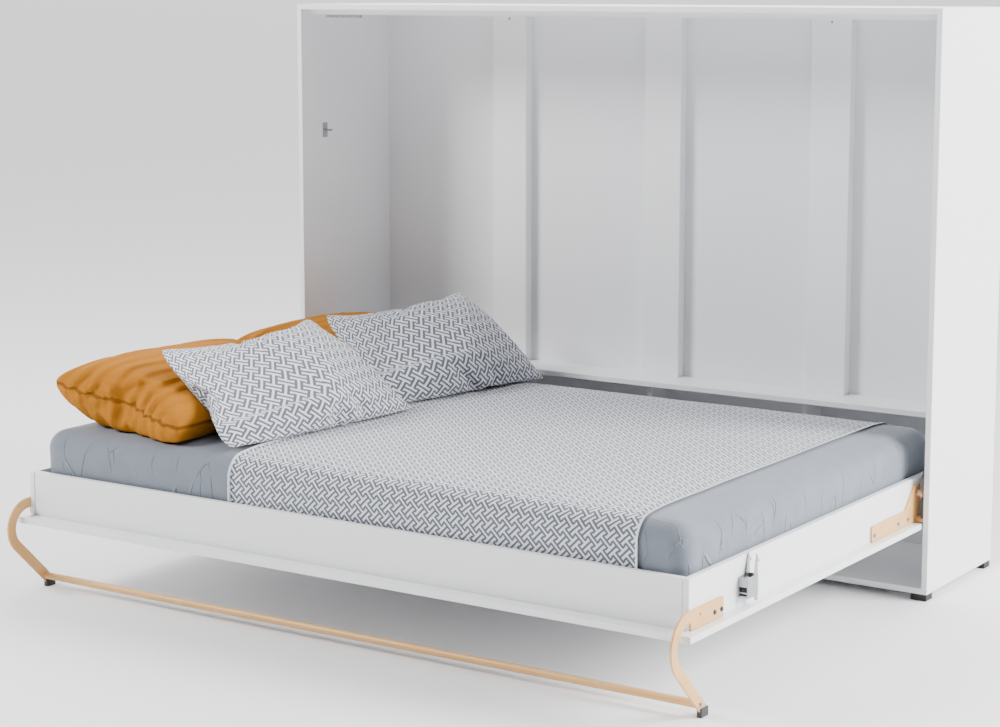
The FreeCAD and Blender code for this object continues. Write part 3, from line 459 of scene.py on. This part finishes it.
folds = add(tree, "ShaderNodeTexVoronoi", {
    "Vector": drawn_up.outputs["Vector"], "Scale": 1 / crease_spacing}, feature="DISTANCE_TO_EDGE")
crease = add(tree, "ShaderNodeMapRange", {
    "Value": folds.outputs["Distance"], "From Max": crease_half_width / crease_spacing,
    "To Min": 1.0, "To Max": 0.0}, interpolation_type="SMOOTHSTEP")
patches = add(tree, "ShaderNodeMapRange", {
    "Value": wander.outputs["Fac"], "From Min": 0.44, "From Max": 0.56})
normal = add(tree, "ShaderNodeNewGeometry", {}).outputs["Normal"]
facing = add(tree, "ShaderNodeSeparateXYZ", {"Vector": normal}).outputs["Z"]
level = add(tree, "ShaderNodeMath", {0: facing}, operation="ABSOLUTE")
sides = add(tree, "ShaderNodeMapRange", {
    "Value": level.outputs[0], "From Min": 0.35, "From Max": 0.8, "To Min": 1.0, "To Max": 0.12},
    interpolation_type="SMOOTHSTEP")
in_patches = add(tree, "ShaderNodeMath", {
    0: crease.outputs["Result"], 1: patches.outputs["Result"]}, operation="MULTIPLY")
creased = add(tree, "ShaderNodeMath", {
    0: in_patches.outputs[0], 1: sides.outputs["Result"]}, operation="MULTIPLY").outputs[0]
pile = add(tree, "ShaderNodeTexNoise", {"Vector": place, "Scale": 1 / pile_patch, "Detail": 5.0})
dyed = add(tree, "ShaderNodeMix", {
    "Factor": pile.outputs["Fac"], "A": linear("#6C737E"), "B": linear("#7B828D")}, data_type="RGBA")
# Painted highlight: the creases are lightened towards a pale grey, where they would catch the light.
painted_crease_highlight = add(tree, "ShaderNodeMath", {0: creased, 1: crease_highlight_share}, operation="MULTIPLY")
tone = add(tree, "ShaderNodeMix", {
    "Factor": painted_crease_highlight.outputs[0], "A": dyed.outputs["Result"], "B": linear("#BFC4CB")}, data_type="RGBA")
loops = add(tree, "ShaderNodeBump", {"Height": rib.outputs["Fac"], "Strength": 0.1, "Distance": rib_height})
relief = add(tree, "ShaderNodeBump", {
    "Height": creased, "Strength": 1.0, "Distance": crease_height, "Normal": loops.outputs["Normal"]})
shader = add(tree, "ShaderNodeBsdfPrincipled", {
    "Base Color": tone.outputs["Result"], "Roughness": 0.85, "IOR": 1.45, "Sheen Weight": 0.25,
    "Normal": relief.outputs["Normal"]})
add(tree, "ShaderNodeOutputMaterial", {"Surface": shader.outputs["BSDF"]})

mattress = piece_from(mesh, "fitted_sheet_mattress", jersey)
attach(mattress, "bed")
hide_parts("mattress")


# Bedspread. A woven cotton band laid across the mattress, tucked down behind the front rail and
# at the back, with a narrow turned hem along its two free edges. Its left edge lies a little askew.
spread_box_low, spread_box_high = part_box("bedspread")
spread_inset = 0.034
spread_left = spread_box_low.x + spread_inset
spread_right = spread_box_high.x
spread_bottom = spread_box_low.z
spread_lift = 0.0022
spread_step = 0.014
front_steps = 10
rear_steps = 7
rear_tuck = 0.09
spread_skew = 0.075
hem = 0.008
hem_step = 0.002
hem_lift = 0.0035
ripple_height = 0.0015
ripples_per_metre = 5
ripple_seed = 3.7


def spread_path():
    """Points of the mattress block from the front tuck, over the top, to the rear tuck."""
    front_drop = mattress_high.z - spread_bottom
    front = [Vector((0, -half_width, half_height - front_drop + front_drop * k / front_steps))
             for k in range(front_steps)]
    steps = round(2 * half_width / spread_step)
    over = [Vector((0, -half_width + 2 * half_width * k / steps, half_height)) for k in range(steps + 1)]
    back = [Vector((0, half_width, half_height - rear_tuck * k / rear_steps))
            for k in range(1, rear_steps + 1)]
    return front + over + back


def spread_columns(left):
    """Where the threads of the band are drawn across it, each with how far it stands up as a hem."""
    inner = spread_right - left - 2 * hem
    steps = round((spread_right - spread_left) / spread_step)
    flat = [(left + hem + inner * i / steps, 0.0) for i in range(steps + 1)]
    near = [(left, hem_lift), (left + hem - hem_step, hem_lift)]
    far = [(spread_right - hem + hem_step, hem_lift), (spread_right, hem_lift)]
    return near + flat + far


def store_flat(data, places):
    """Store the cloth's own flat places, in metres, as its map."""
    layer = data.uv_layers.new(name="cloth")
    for loop in data.loops:
        layer.data[loop.index].uv = places[loop.vertex_index]


mesh = bmesh.new()
rows = []
flat_places = []
hem_places = []
spread_length = 0.0
for point in spread_path():
    left = spread_left - spread_skew * (point.y + half_width) / (2 * half_width)
    row = []
    for x, stand in spread_columns(left):
        under, out = mattress_point(Vector((x - mattress_middle.x, point.y, point.z)))
        ripple = noise.noise(Vector((x * ripples_per_metre, point.y * ripples_per_metre, ripple_seed)))
        lift = spread_lift + abs(ripple) * ripple_height + stand
        row.append(mesh.verts.new(under + out * lift + mattress_middle))
    if rows:
        step = (row[-1].co - rows[-1][-1].co).length
        spread_length += step
    flat_places += [(x - spread_left, spread_length) for x, _ in spread_columns(left)]
    hem_places += [stand / hem_lift for _, stand in spread_columns(left)]
    rows.append(row)
for low_row, high_row in zip(rows, rows[1:]):
    for i in range(len(low_row) - 1):
        mesh.faces.new((low_row[i], low_row[i + 1], high_row[i + 1], high_row[i]))
bmesh.ops.recalc_face_normals(mesh, faces=mesh.faces)

# Fret cotton, woven in two tones: an old interlocking fret on a light ground, on the bias, with a
# plain hem. Each grey figure is a bar between two strokes with hooked ends, and the next row's strokes
# stand between them. It repeats every 46 mm; threads are drawn 1.6 mm apart to show.
fret_repeat = 46 * mm
fret_turn = -45
row_share = 0.534
grey_share = 0.12
stroke_place_share = 0.388
stroke_reach_share = 0.345
hook_share = 0.15
hook_place_share = stroke_place_share - hook_share / 2
half_grey_share = grey_share / 2
half_hook_share = hook_share / 2
fret_sink_share = 1.5
thread = 1.6 * mm
thread_height = 0.5 * mm


def plain_weave(tree, cloth_place):
    """How high the cloth's threads stand: warp and weft pass over and under each other."""
    threads = add(tree, "ShaderNodeMapping", {
        "Vector": cloth_place, "Scale": (math.tau / thread, math.tau / thread, 1)})
    counted = add(tree, "ShaderNodeSeparateXYZ", {"Vector": threads.outputs["Vector"]}).outputs
    warp = add(tree, "ShaderNodeMath", {0: counted["X"]}, operation="SINE").outputs[0]
    weft = add(tree, "ShaderNodeMath", {0: counted["Y"]}, operation="SINE").outputs[0]
    return add(tree, "ShaderNodeMath", {0: warp, 1: weft}, operation="MULTIPLY").outputs[0]


fret_cloth, tree = new_material("two_tone_fret_cotton")
cloth_place = add(tree, "ShaderNodeUVMap", {}, uv_map="cloth").outputs["UV"]
turned = add(tree, "ShaderNodeMapping", {
    "Vector": cloth_place, "Rotation": (0, 0, math.radians(fret_turn)),
    "Scale": (1 / fret_repeat, 1 / fret_repeat, 1)})
split = add(tree, "ShaderNodeSeparateXYZ", {"Vector": turned.outputs["Vector"]}).outputs
rows_up = add(tree, "ShaderNodeMath", {0: split["Y"], 1: 1 / row_share}, operation="MULTIPLY").outputs[0]
row_number = add(tree, "ShaderNodeMath", {0: rows_up}, operation="ROUND").outputs[0]
above = add(tree, "ShaderNodeMath", {0: row_number, 1: -row_share, 2: split["Y"]}, operation="MULTIPLY_ADD")
height = add(tree, "ShaderNodeMath", {0: above.outputs[0]}, operation="ABSOLUTE").outputs[0]
staggered = add(tree, "ShaderNodeMath", {0: row_number, 1: 0.5, 2: split["X"]}, operation="MULTIPLY_ADD")
in_repeat = add(tree, "ShaderNodeMath", {0: staggered.outputs[0], 1: 0.5, 2: -0.5}, operation="WRAP")
aside = add(tree, "ShaderNodeMath", {0: in_repeat.outputs[0]}, operation="ABSOLUTE").outputs[0]
next_aside = add(tree, "ShaderNodeMath", {0: 0.5, 1: aside}, operation="SUBTRACT").outputs[0]

# The row's own bar, strokes and hooks.
on_bar = add(tree, "ShaderNodeMath", {0: height, 1: half_grey_share}, operation="LESS_THAN").outputs[0]
in_bar = add(tree, "ShaderNodeMath", {0: aside, 1: stroke_place_share}, operation="LESS_THAN").outputs[0]
bar = add(tree, "ShaderNodeMath", {0: on_bar, 1: in_bar}, operation="MULTIPLY").outputs[0]
stroke = add(tree, "ShaderNodeMath", {
    0: aside, 1: stroke_place_share, 2: half_grey_share}, operation="COMPARE").outputs[0]
at_end = add(tree, "ShaderNodeMath", {
    0: height, 1: stroke_reach_share - grey_share}, operation="GREATER_THAN").outputs[0]
beside = add(tree, "ShaderNodeMath", {
    0: aside, 1: hook_place_share, 2: half_hook_share}, operation="COMPARE").outputs[0]
hook = add(tree, "ShaderNodeMath", {0: at_end, 1: beside}, operation="MULTIPLY").outputs[0]
bar_and_strokes = add(tree, "ShaderNodeMath", {0: bar, 1: stroke}, operation="MAXIMUM").outputs[0]
own_row = add(tree, "ShaderNodeMath", {0: bar_and_strokes, 1: hook}, operation="MAXIMUM").outputs[0]

# The strokes and hooks that reach in from the next row.
reaches = add(tree, "ShaderNodeMath", {
    0: height, 1: row_share - stroke_reach_share}, operation="GREATER_THAN").outputs[0]
next_stroke = add(tree, "ShaderNodeMath", {
    0: next_aside, 1: stroke_place_share, 2: half_grey_share}, operation="COMPARE").outputs[0]
next_hook = add(tree, "ShaderNodeMath", {
    0: next_aside, 1: hook_place_share, 2: half_hook_share}, operation="COMPARE").outputs[0]
next_end = add(tree, "ShaderNodeMath", {0: next_stroke, 1: next_hook}, operation="MAXIMUM").outputs[0]
next_row = add(tree, "ShaderNodeMath", {0: reaches, 1: next_end}, operation="MULTIPLY").outputs[0]
both_rows = add(tree, "ShaderNodeMath", {0: own_row, 1: next_row}, operation="MAXIMUM").outputs[0]
hem_mark = add(tree, "ShaderNodeAttribute", {}, attribute_name="hem").outputs["Fac"]
off_hem = add(tree, "ShaderNodeMath", {0: 1.0, 1: hem_mark}, operation="SUBTRACT").outputs[0]
fret = add(tree, "ShaderNodeMath", {0: both_rows, 1: off_hem}, operation="MULTIPLY").outputs[0]
tone = add(tree, "ShaderNodeMix", {
    "Factor": fret, "A": linear("#DFE1E8"), "B": linear("#5B5E69")}, data_type="RGBA")
weave = plain_weave(tree, cloth_place)
raised = add(tree, "ShaderNodeMath", {
    0: fret, 1: -fret_sink_share, 2: weave}, operation="MULTIPLY_ADD").outputs[0]
relief = add(tree, "ShaderNodeBump", {"Height": raised, "Strength": 0.18, "Distance": thread_height})
shader = add(tree, "ShaderNodeBsdfPrincipled", {
    "Base Color": tone.outputs["Result"], "Roughness": 0.88, "IOR": 1.45, "Sheen Weight": 0.2,
    "Normal": relief.outputs["Normal"]})
add(tree, "ShaderNodeOutputMaterial", {"Surface": shader.outputs["BSDF"]})

bedspread = piece_from(mesh, "fret_bedspread", fret_cloth)
store_flat(bedspread.data, flat_places)
hem_marks = bedspread.data.attributes.new("hem", "FLOAT", "POINT")
hem_marks.data.foreach_set("value", hem_places)
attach(bedspread, "bed")
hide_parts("bedspread")


# Pillows. Two rectangles of cloth sewn round the edge and filled: each is inflated as cloth, then
# laid down, so its sides pull in between the corners and the cloth puckers along the seam.
pillow_cell = 0.011
corner_share = 0.045
corner_power = 5
panel_lift = 0.012
print_share = 0.87
seam_share = 1.08
filling_pressure = 2.4
filling_frames = 26


def sewn_cover(name, length, width, material):
    """Two flat panels that share their edge, with the cloth's flat places as their map.

    The pillows' fret is a little larger than the bedspread's, so their map is drawn smaller.
    """
    cells_x = round(length / pillow_cell)
    cells_y = round(width / pillow_cell)
    mesh = bmesh.new()
    places = []

    def panel(sign):
        """The grid of one panel; the lower one is sewn to the upper one's rim."""
        rows = []
        for j in range(cells_y + 1):
            row = []
            for i in range(cells_x + 1):
                rim = i in (0, cells_x) or j in (0, cells_y)
                if rim and sign < 0:
                    row.append(upper[j][i])
                    continue
                x = length * (i / cells_x - 0.5)
                y = width * (j / cells_y - 0.5)
                dome = panel_lift * math.cos(math.pi * x / length) * math.cos(math.pi * y / width)
                blunt = 1 - corner_share * abs(4 * x * y / length / width) ** corner_power
                row.append(mesh.verts.new((x * blunt, y * blunt, 0 if rim else sign * dome)))
                places.append((x * print_share, y * print_share))
            rows.append(row)
        for j in range(cells_y):
            for i in range(cells_x):
                quad = (rows[j][i], rows[j][i + 1], rows[j + 1][i + 1], rows[j + 1][i])
                mesh.faces.new(quad if sign > 0 else quad[::-1])
        return rows

    upper = panel(1)
    panel(-1)
    cover = piece_from(mesh, name, material)
    store_flat(cover.data, places)
    return cover


def inflate(slacks):
    """Fill covers with air pressure, all in one run, and keep the shapes they take.

    Each comes with its slack, the share by which its cloth may grow.
    """
    scene = bpy.context.scene
    for cover, slack_share in slacks:
        cloth = cover.modifiers.new("filling", "CLOTH")
        cloth.point_cache.frame_end = filling_frames
        settings = cloth.settings
        settings.quality = 6
        settings.mass = 0.25
        settings.tension_stiffness = 12
        settings.compression_stiffness = 12
        settings.shear_stiffness = 4
        settings.bending_stiffness = 0.08
        settings.use_pressure = True
        settings.uniform_pressure_force = filling_pressure
        settings.effector_weights.gravity = 0
        settings.air_damping = 3
        settings.shrink_min = -slack_share
    for step in range(1, filling_frames + 1):
        scene.frame_set(step)
    for cover, _ in slacks:
        cover.modifiers.new("fine", "SUBSURF").levels = 1
    graph = bpy.context.evaluated_depsgraph_get()
    for cover, _ in slacks:
        filled = bpy.data.meshes.new_from_object(
            cover.evaluated_get(graph), preserve_all_data_layers=True, depsgraph=graph)
        cover.modifiers.clear()
        cover.data = filled
    scene.frame_set(1)


# Mustard cotton, plain woven: deep yellow, with thick threads of slightly uneven dye, drawn 4 mm wide
# so that they show, and painted shade in the groove where the seam draws it in.
slub_width = 4 * mm
slub_length = 50 * mm
seam_core = 2 * mm
seam_reach = 7 * mm
seam_depth = 4 * mm
seam_shade_share = 0.65
mustard_cotton, tree = new_material("mustard_plain_cotton")
cloth_place = add(tree, "ShaderNodeUVMap", {}, uv_map="cloth").outputs["UV"]
weave = plain_weave(tree, cloth_place)
slub = add(tree, "ShaderNodeMapping", {"Vector": cloth_place, "Scale": (1 / slub_width, 1 / slub_length, 1)})
dye = add(tree, "ShaderNodeTexNoise", {"Vector": slub.outputs["Vector"], "Scale": 1.0, "Detail": 4.0})
dyed = add(tree, "ShaderNodeMix", {
    "Factor": dye.outputs["Fac"], "A": linear("#9F6214"), "B": linear("#B37420")}, data_type="RGBA")
from_seam = add(tree, "ShaderNodeAttribute", {}, attribute_name="from_seam").outputs["Fac"]
off_seam = add(tree, "ShaderNodeMath", {0: from_seam}, operation="ABSOLUTE").outputs[0]
groove = add(tree, "ShaderNodeMapRange", {
    "Value": off_seam, "From Min": seam_core, "From Max": seam_reach, "To Min": 1.0, "To Max": 0.0},
    interpolation_type="SMOOTHSTEP").outputs["Result"]
# Painted shade: along the seam's groove, the yellow is darkened towards a deep brown.
painted_groove_shade = add(tree, "ShaderNodeMath", {0: groove, 1: seam_shade_share}, operation="MULTIPLY").outputs[0]
tone = add(tree, "ShaderNodeMix", {
    "Factor": painted_groove_shade, "A": dyed.outputs["Result"], "B": linear("#5C3409")}, data_type="RGBA")
drawn_in = add(tree, "ShaderNodeBump", {
    "Height": groove, "Strength": 0.8, "Distance": seam_depth}, invert=True)
relief = add(tree, "ShaderNodeBump", {
    "Height": weave, "Strength": 0.15, "Distance": thread_height, "Normal": drawn_in.outputs["Normal"]})
shader = add(tree, "ShaderNodeBsdfPrincipled", {
    "Base Color": tone.outputs["Result"], "Roughness": 0.95, "IOR": 1.45, "Specular IOR Level": 0.2,
    "Normal": relief.outputs["Normal"]})
add(tree, "ShaderNodeOutputMaterial", {"Surface": shader.outputs["BSDF"]})

# Each pillow's cloth and how loose that is, its length, width and thickness, its tilt and turn in
# degrees, where its middle lies off its solid's, how far down it gives where it lies, and on a fret
# pillow how far down its fallen-in part ends.
pillow_facts = {
    "mustard_pillow_front": {
        "cloth": mustard_cotton, "slot": "mustard_cloth", "slack_share": 0.04, "size": (0.48, 0.66, 0.19),
        "tilt": 9.0, "turn": 4.0, "offset": (0.015, 0.005, -0.012), "give": 0.02},
    "mustard_pillow_rear": {
        "cloth": mustard_cotton, "slot": "mustard_cloth", "slack_share": 0.04, "size": (0.48, 0.60, 0.19),
        "tilt": 9.0, "turn": 8.6, "offset": (0.0, 0.02, -0.012), "give": 0.02},
    "patterned_pillow_front": {
        "cloth": fret_cloth, "slot": "fret_cloth", "slack_share": 0.0, "size": (0.42, 0.67, 0.135),
        "tilt": 32.0, "turn": 4.3, "offset": (0.016, -0.024, 0.006), "give": 0.03, "sill_share": 0.7},
    "patterned_pillow_rear": {
        "cloth": fret_cloth, "slot": "fret_cloth", "slack_share": 0.0, "size": (0.40, 0.655, 0.135),
        "tilt": 36.5, "turn": 8.6, "offset": (0.004, -0.022, 0.005), "give": 0.03, "sill_share": 0.5},
}
covers = {}
for name, facts in pillow_facts.items():
    length, width, _ = facts["size"]
    covers[name] = sewn_cover("soft_" + name, length * seam_share, width * seam_share, facts["cloth"])
inflate([(covers[name], facts["slack_share"]) for name, facts in pillow_facts.items()])

# The plain covers are full to the edge, sag below their seam, and are gathered along their short
# sides: uneven pleats about 55 mm apart that step sideways at the seam, kink it, and die out at the
# corners and towards the foot.
fullness_power = 0.6
sag_share = 0.5
pleat_pitch = 0.055
pleat_depth = 0.017
pleat_reach = 0.15
pleat_slant = -0.1
pleat_wander = 0.03
pleat_wander_rates = (6, 4)
pleat_step = 0.025
pleat_step_reach = 0.02
pleat_uneven_share = 0.5
pleat_uneven_rates = (0.7, 3)
pleat_turn_share = 0.8
pleat_middle_share = 0.4
pleat_corner = 0.1
pleat_fall = 0.06
pleat_foot_share = 0.35
seam_kink_share = 0.8


def filled_out(place, size):
    """A point of a plain cover, filled to the edge and sagging below its seam."""
    half = size[2] / 2
    rise = math.copysign(half * (abs(place.z) / half) ** fullness_power, place.z)
    return Vector((place.x, place.y, rise if rise > 0 else rise * (1 + sag_share)))


def pleat(place, size, seed):
    """How far the gathered cloth stands out there: each pleat climbs slowly and drops at once."""
    from_end = max(0.0, size[1] / 2 - abs(place.y))
    wander_at = Vector((place.x * pleat_wander_rates[0], place.y * pleat_wander_rates[1], seed))
    wander = noise.noise(wander_at) * pleat_wander
    step = pleat_step * math.tanh(place.z / pleat_step_reach)
    phase = (place.x + pleat_slant * from_end + wander - step) / pleat_pitch
    number = math.floor(phase)
    along = phase - number
    fold = min(along / pleat_turn_share, (1 - along) / (1 - pleat_turn_share)) - pleat_middle_share
    uneven_at = Vector((number * pleat_uneven_rates[0], seed, place.y * pleat_uneven_rates[1]))
    uneven = 1 + pleat_uneven_share * noise.noise(uneven_at)
    corner = max(0.0, min(1.0, (size[0] / 2 - abs(place.x)) / pleat_corner))
    foot = max(pleat_foot_share, min(1.0, 1 + place.z / pleat_fall))
    return pleat_depth * fold * uneven * corner * foot * math.exp(-from_end / pleat_reach)


def gather(cover, size, seed):
    """Pleat a plain cover, and mark on its cloth how high each point lies above the kinked seam."""
    verts = cover.data.vertices
    heights = cover.data.attributes.new("from_seam", "FLOAT", "POINT").data
    for vert, height in zip(verts, heights):
        height.value = vert.co.z + seam_kink_share * pleat(vert.co, size, seed)
    cover.data.update()
    stands = [vert.normal * pleat(vert.co, size, seed) for vert in verts]
    for vert, stand in zip(verts, stands):
        vert.co += stand


# The fret covers are larger than what fills them: the filling has slipped to the lower edge and the
# far end, so the upper near part has fallen in, between a ridge from the far upper corner and a sill.
taper_share = 0.13
seam_steps = 20
seam_bow_shares = (0.14, -0.04)
seam_fade_shares = (0.75, 0.95)
end_bow_share = 0.07
blunt_share = 0.06
blunt_power = 3
twist = 0.05
corner_reach = 0.07
ridge_top_share = 0.9
ridge_foot_share = -0.2
ridge_reach_share = 0.95
sill_reach_share = 0.22
empty_share = 0.8
ridge_fill_share = 1.35


def even_seams(places, size):
    """Draw the long seams of a slack cover nearly straight again, where the filling pulled them in."""
    reaches = [[0.0, 0.0] for _ in range(seam_steps + 1)]
    for place in places:
        reach = reaches[round((place.y / size[1] + 0.5) * seam_steps)]
        reach[0] = max(reach[0], -place.x)
        reach[1] = max(reach[1], place.x)
    for place in places:
        at = (place.y / size[1] + 0.5) * seam_steps
        first = min(int(at), seam_steps - 1)
        side = int(place.x > 0)
        reach = reaches[first][side] + (reaches[first + 1][side] - reaches[first][side]) * (at - first)
        across = abs(2 * place.y / size[1])
        fade = (seam_fade_shares[1] - across) / (seam_fade_shares[1] - seam_fade_shares[0])
        wanted = size[0] / 2 * (1 - seam_bow_shares[side] * (1 - across ** 2))
        place.x *= 1 + max(0.0, min(1.0, fade)) * (wanted / reach - 1)


def half_empty(place, size, sill_share):
    """A point of a fret cover: narrower at its raised edge, straight along the others, and fallen in."""
    down = 2 * place.x / size[0]
    across = 2 * place.y / size[1]
    blunt = 1 - blunt_share * (max(0.0, down) * max(0.0, -across)) ** blunt_power
    if across < 0:
        blunt *= 1 + end_bow_share * (1 - down ** 2)
    x = place.x * blunt
    y = place.y * (1 - taper_share * (1 - down) / 2) * blunt
    y -= corner_reach * max(0.0, (1 + down) / 2 * -across) ** 2
    ridge = ridge_top_share + (ridge_foot_share - ridge_top_share) * (1 + down) / 2
    inside = min((ridge - across) / ridge_reach_share, (sill_share - down) / sill_reach_share)
    fill = ridge_fill_share * (1 - empty_share * max(0.0, min(1.0, inside))) if place.z > 0 else 1.0
    return Vector((x, y, place.z * fill + twist * max(0.0, -place.x) * across))


# Each pillow is shaped, turned, carried to its solid's place and settled on the mattress.
plain_gap = 0.001
fret_gap = 0.005
least_thickness = 0.001


def bounds_of(points):
    """The lowest and highest corner of some points."""
    return (Vector([min(p[k] for p in points) for k in range(3)]),
            Vector([max(p[k] for p in points) for k in range(3)]))


def lie_on(cover, gap, give):
    """Settle a pillow on the mattress: what is low is pressed flat, and the rest sinks by half the give."""
    for vert in cover.data.vertices:
        under = mattress_high.z + crown(vert.co.x - mattress_middle.x, vert.co.y - mattress_middle.y) + gap
        rise = vert.co.z - under
        vert.co.z = under + (rise - give / 2 if rise > give else max(0.0, rise) ** 2 / (2 * give))


for name, facts in pillow_facts.items():
    cover = covers[name]
    size = facts["size"]
    verts = cover.data.vertices
    low, high = bounds_of([vert.co for vert in verts])
    fit = Vector([s / max(h - l, least_thickness) for s, l, h in zip(size, low, high)])
    middle = (low + high) / 2
    places = [(vert.co - middle) * fit for vert in verts]
    plain = facts["cloth"] == mustard_cotton
    if plain:
        shaped = [filled_out(place, size) for place in places]
    else:
        even_seams(places, size)
        shaped = [half_empty(place, size, facts["sill_share"]) for place in places]
    for vert, place in zip(verts, shaped):
        vert.co = place
    if plain:
        gather(cover, size, facts["turn"])
    spin = (Matrix.Rotation(math.radians(-facts["turn"]), 3, "Z")
            @ Matrix.Rotation(math.radians(facts["tilt"]), 3, "Y"))
    for vert in verts:
        vert.co = spin @ vert.co
    low, high = bounds_of([vert.co for vert in verts])
    node_low, node_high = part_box(name)
    shift = (node_low + node_high - low - high) / 2 + Vector(facts["offset"])
    for vert in verts:
        vert.co += shift
    lie_on(cover, plain_gap if plain else fret_gap, facts["give"])

# The fret pillows lean on the plain ones and dent them.
dent_gap = 0.003
mattress_top = mattress_high.z + crown_rise


def dent(lower, upper):
    """Press the lower pillow in where the upper one leans on it."""
    graph = bpy.context.evaluated_depsgraph_get()
    upper_faces = BVHTree.FromObject(upper, graph)
    for vert in lower.data.vertices:
        hit = upper_faces.ray_cast(Vector((vert.co.x, vert.co.y, 0)), Vector((0, 0, 1)))[0]
        if hit and vert.co.z > hit.z - dent_gap:
            vert.co.z = max(hit.z - dent_gap, mattress_top)


bpy.context.view_layer.update()
for lower in ("mustard_pillow_front", "mustard_pillow_rear"):
    for upper in ("patterned_pillow_front", "patterned_pillow_rear"):
        dent(covers[lower], covers[upper])
for name, facts in pillow_facts.items():
    cover = covers[name]
    smooth = cover.modifiers.new("even", "SMOOTH")
    smooth.factor = 0.4
    smooth.iterations = 1 if facts["cloth"] == mustard_cotton else 2
    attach(cover, "bed")
    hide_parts(name)
    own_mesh(cover)


# Floor, light and camera. A plain pale floor under three broad soft lights, from the left front,
# the right and above, and the photograph's own viewpoint.
floor_half = 300
floor_gap = 0.0005
floor_patch = 500 * mm

# Rolled floor paint: pale and dull, with hardly any mottle.
floor_paint, tree = new_material("rolled_pale_paint")
place = add(tree, "ShaderNodeTexCoord", {}).outputs["Object"]
mottle = add(tree, "ShaderNodeTexNoise", {"Vector": place, "Scale": 1 / floor_patch, "Detail": 3.0})
tone = add(tree, "ShaderNodeMix", {
    "Factor": mottle.outputs["Fac"], "A": linear("#F4F4F5"), "B": linear("#F7F7F8")}, data_type="RGBA")
shader = add(tree, "ShaderNodeBsdfPrincipled", {"Base Color": tone.outputs["Result"], "Roughness": 0.9})
add(tree, "ShaderNodeOutputMaterial", {"Surface": shader.outputs["BSDF"]})
mesh = bmesh.new()
bmesh.ops.create_grid(mesh, x_segments=2, y_segments=2, size=floor_half)
floor = piece_from(mesh, "floor", floor_paint)
floor.location.z = -floor_gap

# The studio is dim in front and bright behind, so that the niche stays darker than the outside.
world = bpy.data.worlds.new("studio")
world.use_nodes = True
tree = world.node_tree
tree.nodes.clear()
direction = add(tree, "ShaderNodeTexCoord", {}).outputs["Generated"]
depth = add(tree, "ShaderNodeSeparateXYZ", {"Vector": direction}).outputs["Y"]
glow = add(tree, "ShaderNodeMapRange", {
    "Value": depth, "From Min": 0.05, "From Max": 0.75, "To Min": 0.04, "To Max": 5.0},
    interpolation_type="SMOOTHSTEP")
backdrop = add(tree, "ShaderNodeBackground", {
    "Color": linear("#FFFFFF"), "Strength": glow.outputs["Result"]})
add(tree, "ShaderNodeOutputWorld", {"Surface": backdrop.outputs["Background"]})
bpy.context.scene.world = world

# Each lamp's name, its place, what it points at, its size in metres and its power in watts.
lamp_facts = (
    ("key", (-4.2, -4.0, 4.5), (0.0, 0.3, 0.6), 2.2, 580),
    ("side", (5.6, 1.7, 3.2), (0.8, -0.2, 0.6), 2.5, 740),
    ("top", (0.3, -1.2, 4.8), (0.0, -0.5, 0.0), 3.0, 80),
)
for name, position, target, size, power in lamp_facts:
    lamp = bpy.data.lights.new(name, "AREA")
    lamp.size = size
    lamp.energy = power
    holder = bpy.data.objects.new(name, lamp)
    holder.location = position
    holder.rotation_euler = (Vector(target) - Vector(position)).to_track_quat("-Z", "Y").to_euler()
    bpy.context.scene.collection.objects.link(holder)

look_down = 0.1452
look_left = 0.5859
camera = bpy.data.cameras.new("photograph")
camera.sensor_width = 36
camera.lens = 81.395
camera.shift_y = -0.05
camera.clip_end = 1000
viewpoint = bpy.data.objects.new("photograph", camera)
viewpoint.location = (3.3712, -5.1128, 1.6449)
viewpoint.rotation_euler = (math.pi / 2 - look_down, 0, look_left)
bpy.context.scene.collection.objects.link(viewpoint)
bpy.context.scene.camera = viewpoint

bpy.context.view_layer.update()
